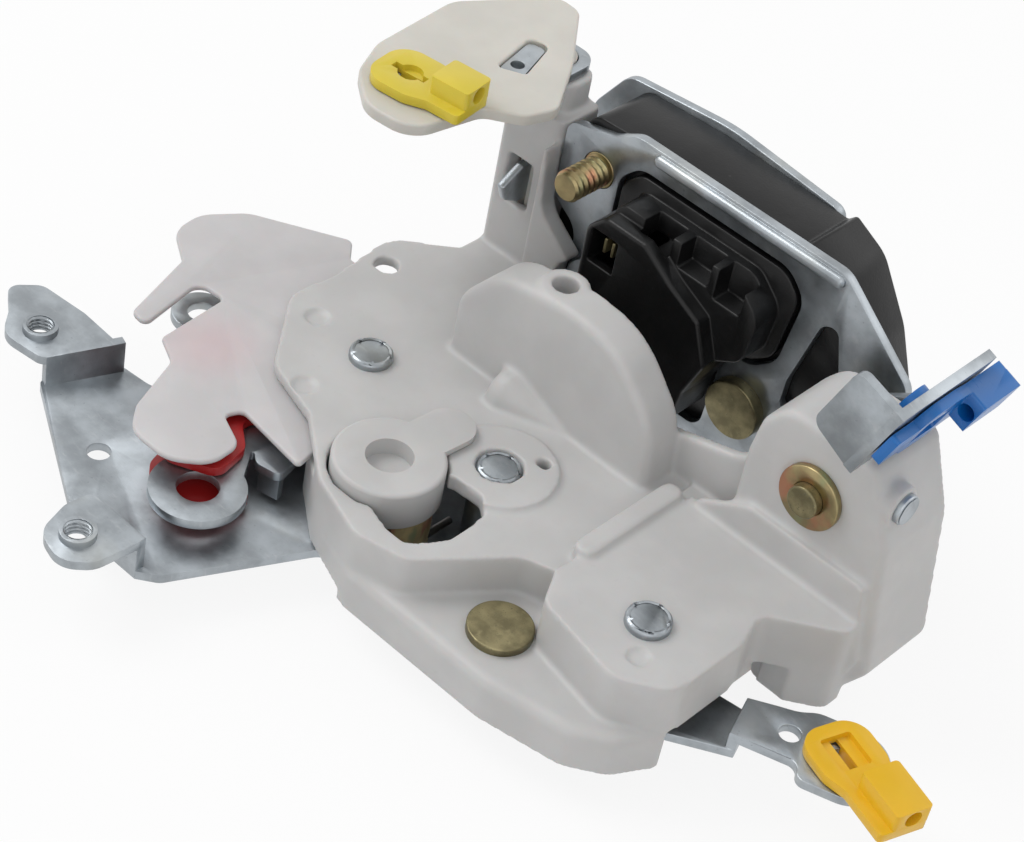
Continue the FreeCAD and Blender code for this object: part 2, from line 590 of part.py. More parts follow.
def hub_group():
    """Ring lever on a steel sleeve, with its torsion spring below."""
    lever = new_body("hub_lever", (*HUB, 0))
    radius = mm("hub_radius")
    rise = size("hub_rise")
    layer(lever, "z", -5.1, rise, circle(0, 0, radius))
    arm = mm("hub_arm_reach")
    layer(lever, "z", size("play") + 1.0, rise, link_outline((0, 0), (1, arm), 9.0, 4.6, 5.2))
    cut(lever, "z", -0.9, rise + 1, circle(0, 0, mm("hub_bore_radius")))
    cut(lever, "z", -6, -2.4, circle(0, 0, mm("sleeve_radius") + mm("running_fit")))
    soften(lever, 0.8, lambda e: lies_at(e, "z", float(rise)) and e.BoundBox.XLength > 9)
    sleeve = new_body("hub_sleeve", (*HUB, 0))
    outer = mm("sleeve_radius")
    cup = mm("cup_radius")
    layer(sleeve, "z", BASE_TOP, -2.4 - size("play"), circle(0, 0, outer),
          circle(0, 0, outer - mm("sleeve_wall")))
    layer(sleeve, "z", BASE_TOP, BASE_TOP + 0.8, circle(0, 0, cup),
          circle(0, 0, outer - mm("sleeve_wall")))
    layer(sleeve, "z", BASE_TOP, -5.5, circle(0, 0, cup), circle(0, 0, cup - mm("cup_wall")))
    cut(sleeve, "z", BASE_TOP + 0.8, -5, outline(
        (6.2, -4.6), (12, -8), (12, 12), (3, 12), (4.2, 6.2), (6.3, 3.6)))
    spring = new_body("hub_spring", (*HUB, float(BASE_TOP) + 0.9 + mm("spring_wire") / 2))
    coil(spring, mm("spring_coil_radius"), mm("spring_wire"), 6.6, 4)
    layer(spring, "y", 0, 10.5, circle(mm("spring_coil_radius"), 0, mm("spring_wire") / 2))
    return lever


def release_lever():
    """Hidden steel lever on the ledge pin that passes the handle's pull to the latch."""
    body = new_body("release_lever", (*LEDGE_PIN, 0))
    layer(body, "z", LOWER_LOW, LOWER_TOP, link_outline((0, 0), (-8, 31), 8, 4.6, 6.4))
    cut(body, "z", LOWER_LOW - 1, LOWER_TOP + 1, circle(0, 0, LEVER_BORE))
    return body


LOWER_ANGLE = math.radians(mm("lower_slant"))


LOWER_STEP = 3.4


def lower_lever():
    """Steel lever that leaves the skirt, with a clip hole in its round end."""
    body = new_body("lower_lever", (*LOWER_PIVOT, 0),
                    Rotation(Vector(0, 0, 1), math.degrees(LOWER_ANGLE)))
    reach = mm("lower_reach")
    end = mm("lower_end_radius")
    step = LOWER_STEP
    bend = 18.4
    layer(body, "z", LOWER_LOW, LOWER_TOP, outline(
        (-7, -7, 6.5), (8, -7, 4), (bend + 1.8, -4.4), (bend + 1.8, 4.6), (8, 7, 4),
        (-7, 7, 6.5)))
    layer(body, "z", LOWER_LOW, LOWER_TOP + step, box_outline(bend, -4.4, bend + 1.8, 4.6))
    layer(body, "z", LOWER_LOW + step, LOWER_TOP + step, outline(
        (bend, -4.4), (reach - end + 1.5, -4.4, 4), (reach - end + 2, -end, 4),
        (reach + end, -end, end), (reach + end, end, end), (reach - end + 1, end, 5),
        (reach - end - 2, 6.2, 8), (bend + 5, 5.6, 6), (bend, 4.6)))
    cut(body, "z", LOWER_LOW - 1, LOWER_TOP + 1, circle(0, 0, LEVER_BORE))
    cut(body, "z", LOWER_LOW, LOWER_TOP + step + 1,
        circle(reach, 0, mm("clip_stem_radius") + mm("running_fit")))
    cut(body, "z", LOWER_LOW, LOWER_TOP + step + 1, circle(27.2, 0.9, 1.9))
    return body


def rod_clip(label, at, turn, thickness, tail=0, reach=16.8, block=6.6, window=True):
    """Snap clip for a rod: a split stem through the lever, a ring and a block that holds the rod.

    Its lever's face is at Z = 0 with the stem going down, and the rod lies along X.
    """
    body = new_body(label, at, turn)
    stem = mm("clip_stem_radius")
    ring = mm("clip_ring_radius")
    low, high = size("seat_gap"), size("seat_gap") + 1.8
    end = -as_length(thickness) - size("seat_gap")
    side = 4.7
    layer(body, "z", low, high, outline(
        (-ring, -ring, ring - 0.1), (3, -ring, 5), (7, -side, 2), (reach, -side, 0.8),
        (reach, side, 0.8), (7, side, 2), (3, ring, 5), (-ring, ring, ring - 0.1)))
    if tail:
        layer(body, "z", low, high, box_outline(-tail, -3.4, -2, 3.4, 0.8))
    layer(body, "z", high, high + 3.4, box_outline(block, -2.4, reach, side, 0.7))
    layer(body, "z", end, low, circle(0, 0, stem))
    layer(body, "z", end - 1.4, end, circle(0, 0, stem + 1.0))
    cut(body, "z", end - 2, high + 1, box_outline(-3.6, -0.8, 3.4, 0.8))
    if window:
        cut(body, "z", low + 0.7, high + 1, box_outline(-3.6, -3, 3.4, 3, 0.6))
    else:
        cut(body, "z", low + 0.7, high + 1, circle(0, 0, 2.3))
    cut(body, "x", block - 0.5, reach + 1, circle(1.2, 3.7, mm("clip_rod_radius")))
    return body


def latch_plates():
    """Back plate, moulded latch body, outer face plate and what they carry."""
    top, low = mm("latch_top"), mm("latch_bottom")
    plate = new_body("back_plate")
    layer(plate, "y", BACK, BODY_BACK, outline(
        (1.6, 19, 3), (1.6, 35.4, 3), (11.5, 37.8, 6), (17, top, 5), (63.5, top, 5),
        (81, 27.4, 4), (81, 6, 8), (74, low, 6), (8, low, 4), (8, 15, 5)))
    layer(plate, "y", BACK - 1.1, BACK + 0.5, outline(
        (21.6, top - 3, 1.2), (64, top - 3, 1.2), (64, top - 0.6, 1.2), (21.6, top - 0.6, 1.2)))
    soften(plate, 0.9, lambda e: lies_at(e, "y", float(BACK) - 1.1))
    cut(plate, "y", BACK - 2, BODY_BACK + 1, outline(
        (18.6, 13, 3), (15, 19, 4), (15, 31, 5), (19, 35.4, 5), (53, 35.4, 6), (57.4, 31, 5),
        (55.4, 16, 6), (50, 11.4, 5), (42.4, 13, 3)))
    cut(plate, "y", BACK - 2, BODY_BACK + 1, outline(
        (58.2, 8, 1.5), (58.4, 14, 5), (62, 29, 2.6), (65.2, 30.2, 2.6), (69.4, 16, 3),
        (66.8, 6.4, 2)))
    cut(plate, "y", BACK - 2, BODY_BACK + 1, outline(
        (24, 14), (24, -8, 3), (43.6, -8, 3), (44.4, 4, 2), (45, 14)))
    cut(plate, "y", BACK - 2, BODY_BACK + 1, circle(*FORK, mm("latch_pin_radius") + 0.02))
    cut(plate, "y", BACK - 2, BODY_BACK + 1, circle(*PAWL, mm("latch_pin_radius") + 0.02))
    cut(plate, "y", BACK - 2, BODY_BACK + 1,
        circle(mm("stud_x"), mm("stud_z"), mm("stud_radius") + mm("stud_shoulder") + 0.02))
    cut(plate, "y", BACK - 2, BODY_BACK + 1, box_outline(57.5, -11, 67, 4.4, 2))
    body = new_body("latch_body")
    layer(body, "y", BODY_BACK, BODY_FACE, outline(
        (2.5, low, 3), (2.5, 33.4, 4), (6.4, 38.4, 4), (24, top - 1.4, 40),
        (52.6, 38.8, 1.2), (54.2, 40.4, 0.8), (61.4, 36.8, 8), (69, 26, 12), (73.8, 15, 6),
        (74.4, -8, 5), (67, low, 4)))
    floor = BODY_BACK + size("wall")
    cavity = outline((5.4, -6, 4), (5.4, 17, 6), (12, 29.6, 6), (36, 29.6, 6), (43, 13, 4),
                     (70, 12.4, 4), (70, -9, 4), (57, -9, 3), (50, -6, 3), (41, -5.4, 1.6),
                     (41, -9.4, 2), (24, -12.4, 2), (20, -6, 3))
    cut(body, "y", floor, BODY_FACE + 1, cavity)
    throat = mm("throat_width") / 2
    mouth_x = mm("throat_x")
    slot = outline((mouth_x - throat, low - 1), (mouth_x + throat, low - 1),
                   (mouth_x + throat, mm("throat_top"), 4.9),
                   (mouth_x - throat, mm("throat_top"), 4.9))
    cut(body, "y", floor, BODY_FACE + 1, slot)
    cut(body, "y", BODY_BACK - 1, floor + 1, circle(*FORK, mm("latch_pin_radius") + 0.02))
    cut(body, "y", BODY_BACK - 1, floor + 1, circle(*PAWL, mm("latch_pin_radius") + 0.02))
    cut(body, "y", BODY_BACK - 1, floor + 1, box_outline(57.5, -8.6, 67, 4.6, 2))
    cut(body, "y", BODY_BACK - 1, BODY_BACK + 1.3, circle(mm("stud_x"), mm("stud_z"), 4.9))
    face = new_body("face_plate")
    layer(face, "y", BODY_FACE, FACE, outline(
        (-5, low, 4), (-5, 29, 6), (1.4, 38.6, 5), (25, top + 0.2, 40), (51, 39, 2.5),
        (52.6, 26, 3), (66, 8, 6), (66, low, 6)))
    cut(face, "y", BODY_FACE - 1, FACE + 1, slot)
    for x, z in screw_spots():
        layer(face, "y", BODY_FACE - 1.4, BODY_FACE, circle(x, z, mm("screw_hole_radius") + 1))
        cut(face, "y", BODY_FACE - 3, FACE + 1, circle(x, z, mm("screw_hole_radius")))
        cut(body, "y", BODY_BACK - 1, BODY_FACE + 1, circle(x, z, mm("screw_hole_radius") + 1.2))
    for spot in (FORK, PAWL):
        cut(face, "y", BODY_FACE - 1, FACE + 1, circle(*spot, mm("latch_pin_radius") + 0.02))
    return plate


def screw_spots():
    x, z = mm("screw_x"), mm("screw_z")
    return ((x, z), (x + mm("screw_step_x"), z), (x + mm("screw_step_x"), z - mm("screw_step_z")))


def latch_pin(label, spot, head_radius, head_rise):
    body = new_body(label, (spot[0], 0, spot[1]))
    shank = mm("latch_pin_radius")
    layer(body, "y", BACK - head_rise, BACK, circle(0, 0, head_radius))
    layer(body, "y", BACK, FACE + 0.8, circle(0, 0, shank))
    soften(body, 0.3, lambda e: lies_at(e, "y", float(BACK) - head_rise))
    return body


FORK_BACK = BODY_BACK + size("wall") + 4.5
FORK_FACE = FORK_BACK + size("fork_thickness")


def fork_and_pawl():
    """Rotary fork with the striker slot, its pawl with a lift stud, and their springs."""
    half = mm("striker_slot") / 2
    middle = mm("throat_x") - FORK[0]
    bore = mm("latch_pin_radius") + mm("running_fit")
    fork = new_body("fork_bolt", (FORK[0], 0, FORK[1]))
    layer(fork, "y", FORK_BACK, FORK_FACE, outline(
        (-7, -3, 5), (-7, 5, 5), (6, 12.4, 5), (19.6, 12.4, 4), (middle + half + 4.4, 4, 5),
        (middle + half + 3.6, -12, 1.6), (middle + half, -12, 1.6), (middle + half, 2.4, half - 0.1),
        (middle - half, 2.4, half - 0.1), (middle - half, -10, 1.2), (middle - half - 4, -11, 2),
        (2, -8, 4)))
    cut(fork, "y", FORK_BACK - 1, FORK_FACE + 1, circle(0, 0, bore))
    pawl = new_body("pawl", (PAWL[0], 0, PAWL[1]))
    gap = math.hypot(PAWL[0] - FORK[0], PAWL[1] - FORK[1]) - mm("fork_rim_radius")
    nose = mm("play") + 0.4 - gap
    layer(pawl, "y", FORK_BACK, FORK_FACE, outline(
        (nose, -1.6, 1), (nose, 2.6, 1.4), (-5, 6.2, 3), (5, 6.2, 4), (15.4, -2.6, 3), (14, -8.8, 3),
        (8, -7.8, 3), (-4, -6.2, 4)))
    layer(pawl, "y", BACK - 6, FORK_BACK, circle(11.6, -5.2, 1.9))
    cut(pawl, "y", FORK_BACK - 1, FORK_FACE + 1, circle(0, 0, bore))
    spring_low = BODY_BACK + size("wall")
    facing = Rotation(Vector(1, 0, 0), -90)
    for label, spot in (("fork_spring", FORK), ("pawl_spring", PAWL)):
        spring = new_body(label, (spot[0], float(spring_low) + 0.5, spot[1]), facing)
        coil(spring, 5.2, 1.0, 2.9, 2.5)
    bumper = new_body("striker_bumper")
    x = mm("throat_x")
    layer(bumper, "y", BODY_BACK + size("wall"), FORK_BACK - 0.4,
          box_outline(x - 6, mm("throat_top") + 0.6, x + 6, mm("throat_top") + 6.4, 1.2))
    return fork


def threaded_stud():
    body = new_body("threaded_stud", (mm("stud_x"), 0, mm("stud_z")))
    radius = mm("stud_radius")
    layer(body, "y", BACK - size("stud_length"), BACK, circle(0, 0, radius))
    layer(body, "y", BACK, BODY_BACK, circle(0, 0, radius + mm("stud_shoulder")))
    layer(body, "y", BODY_BACK, BODY_BACK + 1.2, circle(0, 0, radius + 1.7))
    soften(body, 0.5, lambda e: lies_at(e, "y", float(BACK - size("stud_length"))))
    return body


def rear_cover():
    """Black moulded cover over the fork, with a connector socket and pocketed top."""
    body = new_body("rear_cover")
    rear = BACK - size("seat_gap")
    front = BACK - size("cover_rise")
    top = mm("cover_top")
    layer(body, "y", front, rear, outline(
        (17, 2, 2), (17, 26, 3), (20.6, top, 3), (30, top, 1), (37, 25.4, 1.5), (44, 22, 1.5),
        (47.4, 14, 2), (44.4, 6, 3), (43.4, -1.6, 2), (24, -1.6, 2)))
    layer(body, "y", front + 3.4, rear, outline(
        (20, 20), (20, top + 2, 3), (48, top + 2, 4), (53.6, 27, 5), (52.4, 17, 4), (44, 12)))
    layer(body, "y", rear, BODY_BACK - 0.3, outline(
        (19.4, 14, 2), (16, 19.4, 3), (16, 30.6, 4), (19.6, 34.4, 4), (52.6, 34.4, 5),
        (56.4, 30.6, 4), (54.6, 16.6, 5), (49.6, 12.6, 4), (43, 14, 2)))
    soften(body, 0.8, lambda e: lies_at(e, "y", float(front)))
    cut(body, "y", front + 2, rear + 1, outline(
        (19, 4, 1), (19, 25, 2), (21.6, top - 2.2, 2), (29.4, top - 2.2, 1), (36, 23.4, 1),
        (42.6, 20, 1), (45.2, 13.6, 1), (42.4, 6.6, 2), (41.4, 0.4, 1), (25, 0.4, 1)))
    cut(body, "y", rear - 1.6, BACK, circle(*FORK, 5.8))
    # socket in the front, and pockets along the stepped top
    cut(body, "y", front - 1, front + 5, box_outline(18.6, 19.6, 24.4, 26.6, 0.5))
    for x, z, wide in ((26.6, top - 4, 6.4), (35, top - 4.6, 7), (43.6, top - 6, 6)):
        cut(body, "y", front + 2.6, front + 7.6, box_outline(x, z + 1.6, x + wide, top + 4, 0.6))
    terminals = new_body("switch_terminals")
    for x in (20.4, 22.2):
        layer(terminals, "y", front + 1.6, rear, box_outline(x, 21.6, x + 0.7, 24.8))
    layer(terminals, "y", rear - 0.4, rear + 1, box_outline(20, 21, 23.3, 25.4))
    return body


def key_group():
    """Nylon key lever on the column, with the steel link that reaches down the column."""
    top = size("key_plate_top")
    under = top - size("key_plate_thickness")
    boss = mm("key_boss_radius")
    lever = new_body("key_lever")
    layer(lever, "z", under, top, outline(
        (-3.6, 5.6, 6), (-13.6, 4.4, 7), (-21.6, 10.4, 8), (-25.6, 19, 9), (-27.6, 40, 7),
        (-17.2, 58, 3.5), (-12, 57.6, 3.5), (-1.6, 44.4, 14), (6.6, 31.4, 4), (4.8, 25, 4),
        (-1.2, 20.6, 4)))
    layer(lever, "z", 10, under, circle(*KEY_PIVOT, boss))
    cut(lever, "z", 9, TAB_TOP, box_outline(*tab_box()))
    cut(lever, "z", under - 1, top + 1, circle(*clip_hole(), mm("clip_stem_radius")
                                               + mm("running_fit")))
    cut(lever, "z", under - 1, top + 1, outline(
        (-8.6, 31.8, 0.9), (-3.9, 34.4, 0.9), (-7.4, 44.4, 1.6), (-11.3, 43.4, 1.6)))
    soften(lever, 0.5, lambda e: lies_at(e, "z", float(top)) and e.Length > 4)
    link = new_body("key_link")
    flange = under - size("seat_gap")
    g = size("gauge")
    layer(link, "z", flange - g, flange, outline(
        (-11.2, 30.6, 1), (-4, 30.6, 1), (-1.4, 44, 4), (-1.6, 52, 5), (-12, 52, 5),
        (-12.2, 44, 4)))
    layer(link, "z", flange, top - 0.5, outline(
        (-8.4, 32.2, 0.7), (-4.3, 34.5, 0.7), (-7.4, 43.6, 1.3), (-10.8, 42.7, 1.3)))
    cut(link, "z", flange - g - 1, top, circle(*KEY_PIVOT, boss + 0.02))
    cut(link, "z", flange - g - 1, top, circle(-7.2, 35.8, 1.3))
    return lever


TAB_LOW = as_length(12.4)
TAB_TOP = as_length(20.6)


def tab_box():
    x, y = KEY_PIVOT
    half = mm("gauge") / 2
    return (x - half, 38, x + half, y + 0.6)


def key_tab():
    """Steel tongue held in the key lever's boss, standing in the column's slot."""
    body = new_body("key_tab")
    x0, _, x1, y1 = tab_box()
    layer(body, "x", x0, x1, outline(
        (y1, TAB_LOW), (y1, TAB_TOP), (41.6, TAB_TOP, 0.5), (36.8, 17.6, 0.5),
        (38.2, 14.2, 0.5), (41.6, TAB_LOW, 0.5)))
    return body


def clip_hole():
    return (-13.8, 15.1)


def handle_group():
    """Outside handle lever behind the lever box, with its upright arm, bent tab and pivot."""
    x, z = HANDLE_PIVOT
    slant = math.radians(mm("handle_slant"))
    g = size("gauge")
    rear = size("box_rear") + size("play")
    front = size("handle_tab_front")
    inner, foot, top = ARM_SIDE, ARM_FOOT, ARM_FOOT + ARM_LENGTH

    def leaning(dx, dz, radius=0.0):
        return (dx * math.cos(slant) - dz * math.sin(slant),
                dx * math.sin(slant) + dz * math.cos(slant), radius)

    lever = new_body("outside_handle_lever", (x, 0, z),
                     Rotation(Vector(0, 1, 0), mm("handle_slant")))
    outer = inner + mm("gauge")
    layer(lever, "y", rear, rear + g, outline(
        leaning(-6.8, -4, 5), (-7, 7, 5), (inner - 3, foot - 2, 4), (inner, foot + 3, 2),
        (inner, top, 0.8), (outer, top, 0.8), (outer, foot - 4, 4), leaning(7, 3, 5),
        leaning(6.6, -6.8, 5), leaning(-5, -16, 6), leaning(-12, -29, 4),
        leaning(-22, -28, 2), leaning(-21.5, -23.6, 1), leaning(-13.4, -23.6, 1),
        leaning(-11.4, -15, 4)))
    layer(lever, "y", front, rear + g, outline(
        (inner, foot), (inner, top), (outer, top), (outer, foot)))
    layer(lever, "y", front, front + g, outline(
        (inner - 8.5, foot + 1.2, 2.4), (outer, foot, 0.8), (outer, top, 1.6),
        (inner - 8.5, top - 0.4, 1.8)))
    cut(lever, "y", rear - 1, rear + 4, circle(0, 0, mm("handle_pin_radius") + mm("running_fit")))
    cut(lever, "x", inner - 1, outer + 1,
        circle(ARM_HOLE_Y, foot + ARM_HOLE_UP, mm("clip_stem_radius") + mm("running_fit")))
    pin = new_body("handle_pivot_pin", (x, 0, z))
    radius = mm("handle_pin_radius")
    wall_front = size("box_front")
    layer(pin, "y", wall_front - 3.2, rear + g + 1.2, circle(0, 0, radius))
    layer(pin, "y", rear + g + 0.3, rear + g + 1.6, circle(0, 0, radius + 1.6))
    layer(pin, "y", wall_front + size("wall"), rear - 0.3, circle(0, 0, radius + 1.4))
    soften(pin, 0.4, lambda e: lies_at(e, "y", float(wall_front) - 3.2))
    washer = new_body("handle_washer", (x, 0, z))
    layer(washer, "y", wall_front - 1.4, wall_front, circle(0, 0, mm("washer_radius")),
          circle(0, 0, radius + 0.02))
    return lever


ARM_SIDE = 0.6               # inner face of the arm, from the pivot, in the leaning frame
ARM_FOOT = 15.8
ARM_LENGTH = 16.3
ARM_HOLE_Y = 24.0
ARM_HOLE_UP = 9.0


def arm_clip_frame():
    """Where the rod clip meets the arm: its stem along the arm's normal, its rod along Y."""
    slant = math.radians(mm("handle_slant"))
    out = Vector(math.cos(slant), 0, -math.sin(slant))
    up = Vector(math.sin(slant), 0, math.cos(slant))
    x, z = HANDLE_PIVOT
    spot = Vector(x, ARM_HOLE_Y, z) + out * (ARM_SIDE + mm("gauge")) + up * (ARM_FOOT + ARM_HOLE_UP)
    return spot, Rotation(Vector(0, 1, 0), up, out, "ZXY")


def side_rivet():
    body = new_body("side_rivet")
    layer(body, "x", SIDE_SEAT - 5, SIDE_SEAT, circle(22, 24, 2.0))
    layer(body, "x", SIDE_SEAT, SIDE_SEAT + 1.2, circle(22, 24, 2.8))
    soften(body, 0.5, lambda e: lies_at(e, "x", float(SIDE_SEAT) + 1.2))
    return body


housing()
base_plate()
rivet("main_pivot_rivet", (0, 0), as_length(0), KNOB_LOW - size("play"))
rivet("plate_rivet", PLATE_RIVET, as_length(-0.8), TOP_UNDER)
rivet("lower_lever_rivet", LOWER_PIVOT, PAD_TOP)
brass_pin()
lock_plate()
lock_lever()
handle_lever()
knob_lever()
hub_group()
release_lever()
lower_lever()
latch_plates()
latch_pin("fork_pivot_pin", FORK, 5.4, 1.2)
latch_pin("pawl_pivot_pin", PAWL, mm("brass_head_radius"), 2.4)
fork_and_pawl()
threaded_stud()
rear_cover()
key_group()
key_tab()
handle_group()
side_rivet()

upright = Vector(0, 0, 1)
rod_clip("lower_rod_clip", (
    LOWER_PIVOT[0] + mm("lower_reach") * math.cos(LOWER_ANGLE),
    LOWER_PIVOT[1] + mm("lower_reach") * math.sin(LOWER_ANGLE),
    float(LOWER_TOP) + LOWER_STEP), Rotation(upright, -18.5), mm("gauge"))
rod_clip("key_rod_clip", (*clip_hole(), mm("key_plate_top")), Rotation(upright, 8),
         mm("key_plate_thickness"), reach=13.4, block=5.6, window=False)
spot, facing = arm_clip_frame()
rod_clip("outside_rod_clip", spot, facing, mm("gauge"), tail=11.5, reach=17.0)


def check(body):
    for item in [body] + list(body.Group):
        if "Invalid" in item.State or "Error" in item.State:
            raise RuntimeError(f"{body.Label}: {item.Label} failed")
    if body.Shape.isNull() or not body.Shape.isValid():
        raise RuntimeError(f"{body.Label} has no valid shape")
    for item in body.Group:
        if item.TypeId == "PartDesign::Pocket" and item.BaseFeature:
            if item.Shape.Volume > item.BaseFeature.Shape.Volume - 1e-6:
                raise RuntimeError(f"{body.Label}: {item.Label} cuts nothing")


doc.recompute()
for node in nodes:
    check(node)
os.makedirs("parts", exist_ok=True)
for node in nodes:
    node.Shape.exportStep(f"parts/{node.Label}.step")
    print(f"{node.Label:24s} {len(node.Shape.Solids)} solid(s) {node.Shape.Volume:10.1f} mm3")
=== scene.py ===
"""Door latch actuator: how the part looks, laid out as a Blender add-on and run as a script."""
import json
import math

import bmesh
import bpy
from bpy.props import FloatProperty, FloatVectorProperty, IntProperty, PointerProperty
from mathutils import Matrix, Vector

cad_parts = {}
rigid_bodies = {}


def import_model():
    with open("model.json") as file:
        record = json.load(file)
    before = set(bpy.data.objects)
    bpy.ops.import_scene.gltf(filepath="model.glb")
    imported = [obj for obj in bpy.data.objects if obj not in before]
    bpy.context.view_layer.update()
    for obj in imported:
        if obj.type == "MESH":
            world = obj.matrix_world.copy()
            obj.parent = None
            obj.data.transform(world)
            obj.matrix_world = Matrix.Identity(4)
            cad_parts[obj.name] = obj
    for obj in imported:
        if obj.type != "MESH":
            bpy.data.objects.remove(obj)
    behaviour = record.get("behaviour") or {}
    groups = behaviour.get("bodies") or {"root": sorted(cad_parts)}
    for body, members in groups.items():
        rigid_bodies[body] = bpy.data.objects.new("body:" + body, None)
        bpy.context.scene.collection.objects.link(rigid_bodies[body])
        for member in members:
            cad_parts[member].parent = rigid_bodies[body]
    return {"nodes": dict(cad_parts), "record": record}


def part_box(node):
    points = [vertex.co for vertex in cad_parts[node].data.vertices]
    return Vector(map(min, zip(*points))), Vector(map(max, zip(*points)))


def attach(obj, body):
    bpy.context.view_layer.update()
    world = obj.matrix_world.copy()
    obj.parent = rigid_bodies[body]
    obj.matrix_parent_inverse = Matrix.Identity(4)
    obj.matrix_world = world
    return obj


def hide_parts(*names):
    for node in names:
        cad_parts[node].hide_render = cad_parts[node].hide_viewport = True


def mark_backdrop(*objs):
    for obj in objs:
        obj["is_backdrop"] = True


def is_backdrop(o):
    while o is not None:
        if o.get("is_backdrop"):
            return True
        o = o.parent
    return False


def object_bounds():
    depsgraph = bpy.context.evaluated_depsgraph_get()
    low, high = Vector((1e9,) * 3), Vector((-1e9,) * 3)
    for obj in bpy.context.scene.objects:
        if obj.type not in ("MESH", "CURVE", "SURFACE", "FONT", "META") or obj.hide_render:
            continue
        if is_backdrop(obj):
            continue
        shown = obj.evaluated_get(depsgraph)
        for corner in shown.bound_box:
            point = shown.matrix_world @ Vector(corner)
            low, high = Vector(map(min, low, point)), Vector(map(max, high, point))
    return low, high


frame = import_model()

bl_info = {
    "name": "Door latch actuator",
    "version": (1, 0, 0),
    "blender": (4, 5, 0),
    "location": "View3D > Sidebar > Latch",
    "description": "Builds the finished look of a side-door latch on its CAD frame",
    "category": "Object",
}

MM = 0.001
# The row's origin sits on the outer latch face; drawings are read from the main pivot instead.
FACE_SCREW = Vector((8, 59.6, 32.5))
BODY_OF = {node: body for body, nodes in frame["record"]["behaviour"]["bodies"].items()
           for node in nodes}


def spot(x, y, z):
    """A point read from the main pivot, in millimetres, as a point of the row frame in metres."""
    return (Vector((x, y, z)) - FACE_SCREW) * MM


# ---------------------------------------------------------------- sizes and colours


class LatchSizes(bpy.types.PropertyGroup):
    sheet_edge: FloatProperty(
        name="Sheet edge", description="Rounding of blanked sheet edges",
        default=0.00022, unit="LENGTH")
    moulded_edge: FloatProperty(
        name="Moulded edge", description="Rounding of nylon mouldings",
        default=0.00045, unit="LENGTH")
    moulded_voxel: FloatProperty(
        name="Housing grid", description="Grid on which the housing's soft edges form",
        default=0.0005, unit="LENGTH")
    clip_edge: FloatProperty(
        name="Clip edge", description="Rounding of the rod clips",
        default=0.0003, unit="LENGTH")
    thread_pitch: FloatProperty(
        name="Thread pitch", description="Pitch of the stud's thread",
        default=0.00135, unit="LENGTH")
    facets: IntProperty(
        name="Facets", description="Steps round a turned piece", default=96, min=16)


class LatchColours(bpy.types.PropertyGroup):
    housing: FloatVectorProperty(
        name="Housing", description="White moulded housing", subtype="COLOR",
        size=4, default=(0.54, 0.535, 0.53, 1))
    lever: FloatVectorProperty(
        name="White levers", description="Thin translucent levers", subtype="COLOR",
        size=4, default=(0.57, 0.555, 0.56, 1))
    red: FloatVectorProperty(
        name="Red", description="Lock lever", subtype="COLOR", size=4,
        default=(0.36, 0.012, 0.012, 1))
    cream: FloatVectorProperty(
        name="Cream", description="Key lever", subtype="COLOR", size=4,
        default=(0.60, 0.58, 0.53, 1))
    zinc: FloatVectorProperty(
        name="Zinc", description="Zinc-plated sheet", subtype="COLOR", size=4,
        default=(0.36, 0.39, 0.415, 1))
    gold: FloatVectorProperty(
        name="Chromate", description="Yellow chromated steel", subtype="COLOR", size=4,
        default=(0.36, 0.29, 0.15, 1))
    brass: FloatVectorProperty(
        name="Brass", description="Brass-coloured pins", subtype="COLOR", size=4,
        default=(0.27, 0.235, 0.13, 1))
    black: FloatVectorProperty(
        name="Black", description="Black nylon", subtype="COLOR", size=4,
        default=(0.005, 0.005, 0.0052, 1))
    spring: FloatVectorProperty(
        name="Spring steel", description="Oiled spring wire", subtype="COLOR", size=4,
        default=(0.16, 0.15, 0.14, 1))
    yellow: FloatVectorProperty(
        name="Yellow", description="Lower lever's rod clip", subtype="COLOR", size=4,
        default=(0.80, 0.47, 0.012, 1))
    lemon: FloatVectorProperty(
        name="Lemon", description="Key lever's rod clip", subtype="COLOR", size=4,
        default=(0.68, 0.54, 0.04, 1))
    blue: FloatVectorProperty(
        name="Blue", description="Handle lever's rod clip", subtype="COLOR", size=4,
        default=(0.004, 0.14, 0.46, 1))
    rubber: FloatVectorProperty(
        name="Rubber", description="Striker bumper", subtype="COLOR", size=4,
        default=(0.02, 0.02, 0.02, 1))
    floor: FloatVectorProperty(
        name="Floor", description="Pale studio floor", subtype="COLOR", size=4,
        default=(0.86, 0.86, 0.86, 1))


def sizes():
    return bpy.context.scene.latch_sizes


def colours():
    return bpy.context.scene.latch_colours


# ---------------------------------------------------------------- surfaces


class Value:
    """One number, colour or vector of a shader, so that its arithmetic reads as Python's."""

    def __init__(self, surface, socket):
        self.surface = surface
        self.socket = socket

    def maths(self, operation, *terms, clamp=False):
        return self.surface.node("ShaderNodeMath", {"operation": operation, "use_clamp": clamp},
                                 dict(enumerate(terms)))

    def __add__(self, other):
        return self.maths("ADD", self, other)

    __radd__ = __add__

    def __sub__(self, other):
        return self.maths("SUBTRACT", self, other)

    def __rsub__(self, other):
        return self.maths("SUBTRACT", other, self)

    def __mul__(self, other):
        return self.maths("MULTIPLY", self, other)

    __rmul__ = __mul__

    def between(self, low, high):
        """0 below low, 1 above high and smooth between."""
        return self.surface.node("ShaderNodeMapRange", {"interpolation_type": "SMOOTHSTEP"},
                                 {"Value": self, "From Min": low, "From Max": high})


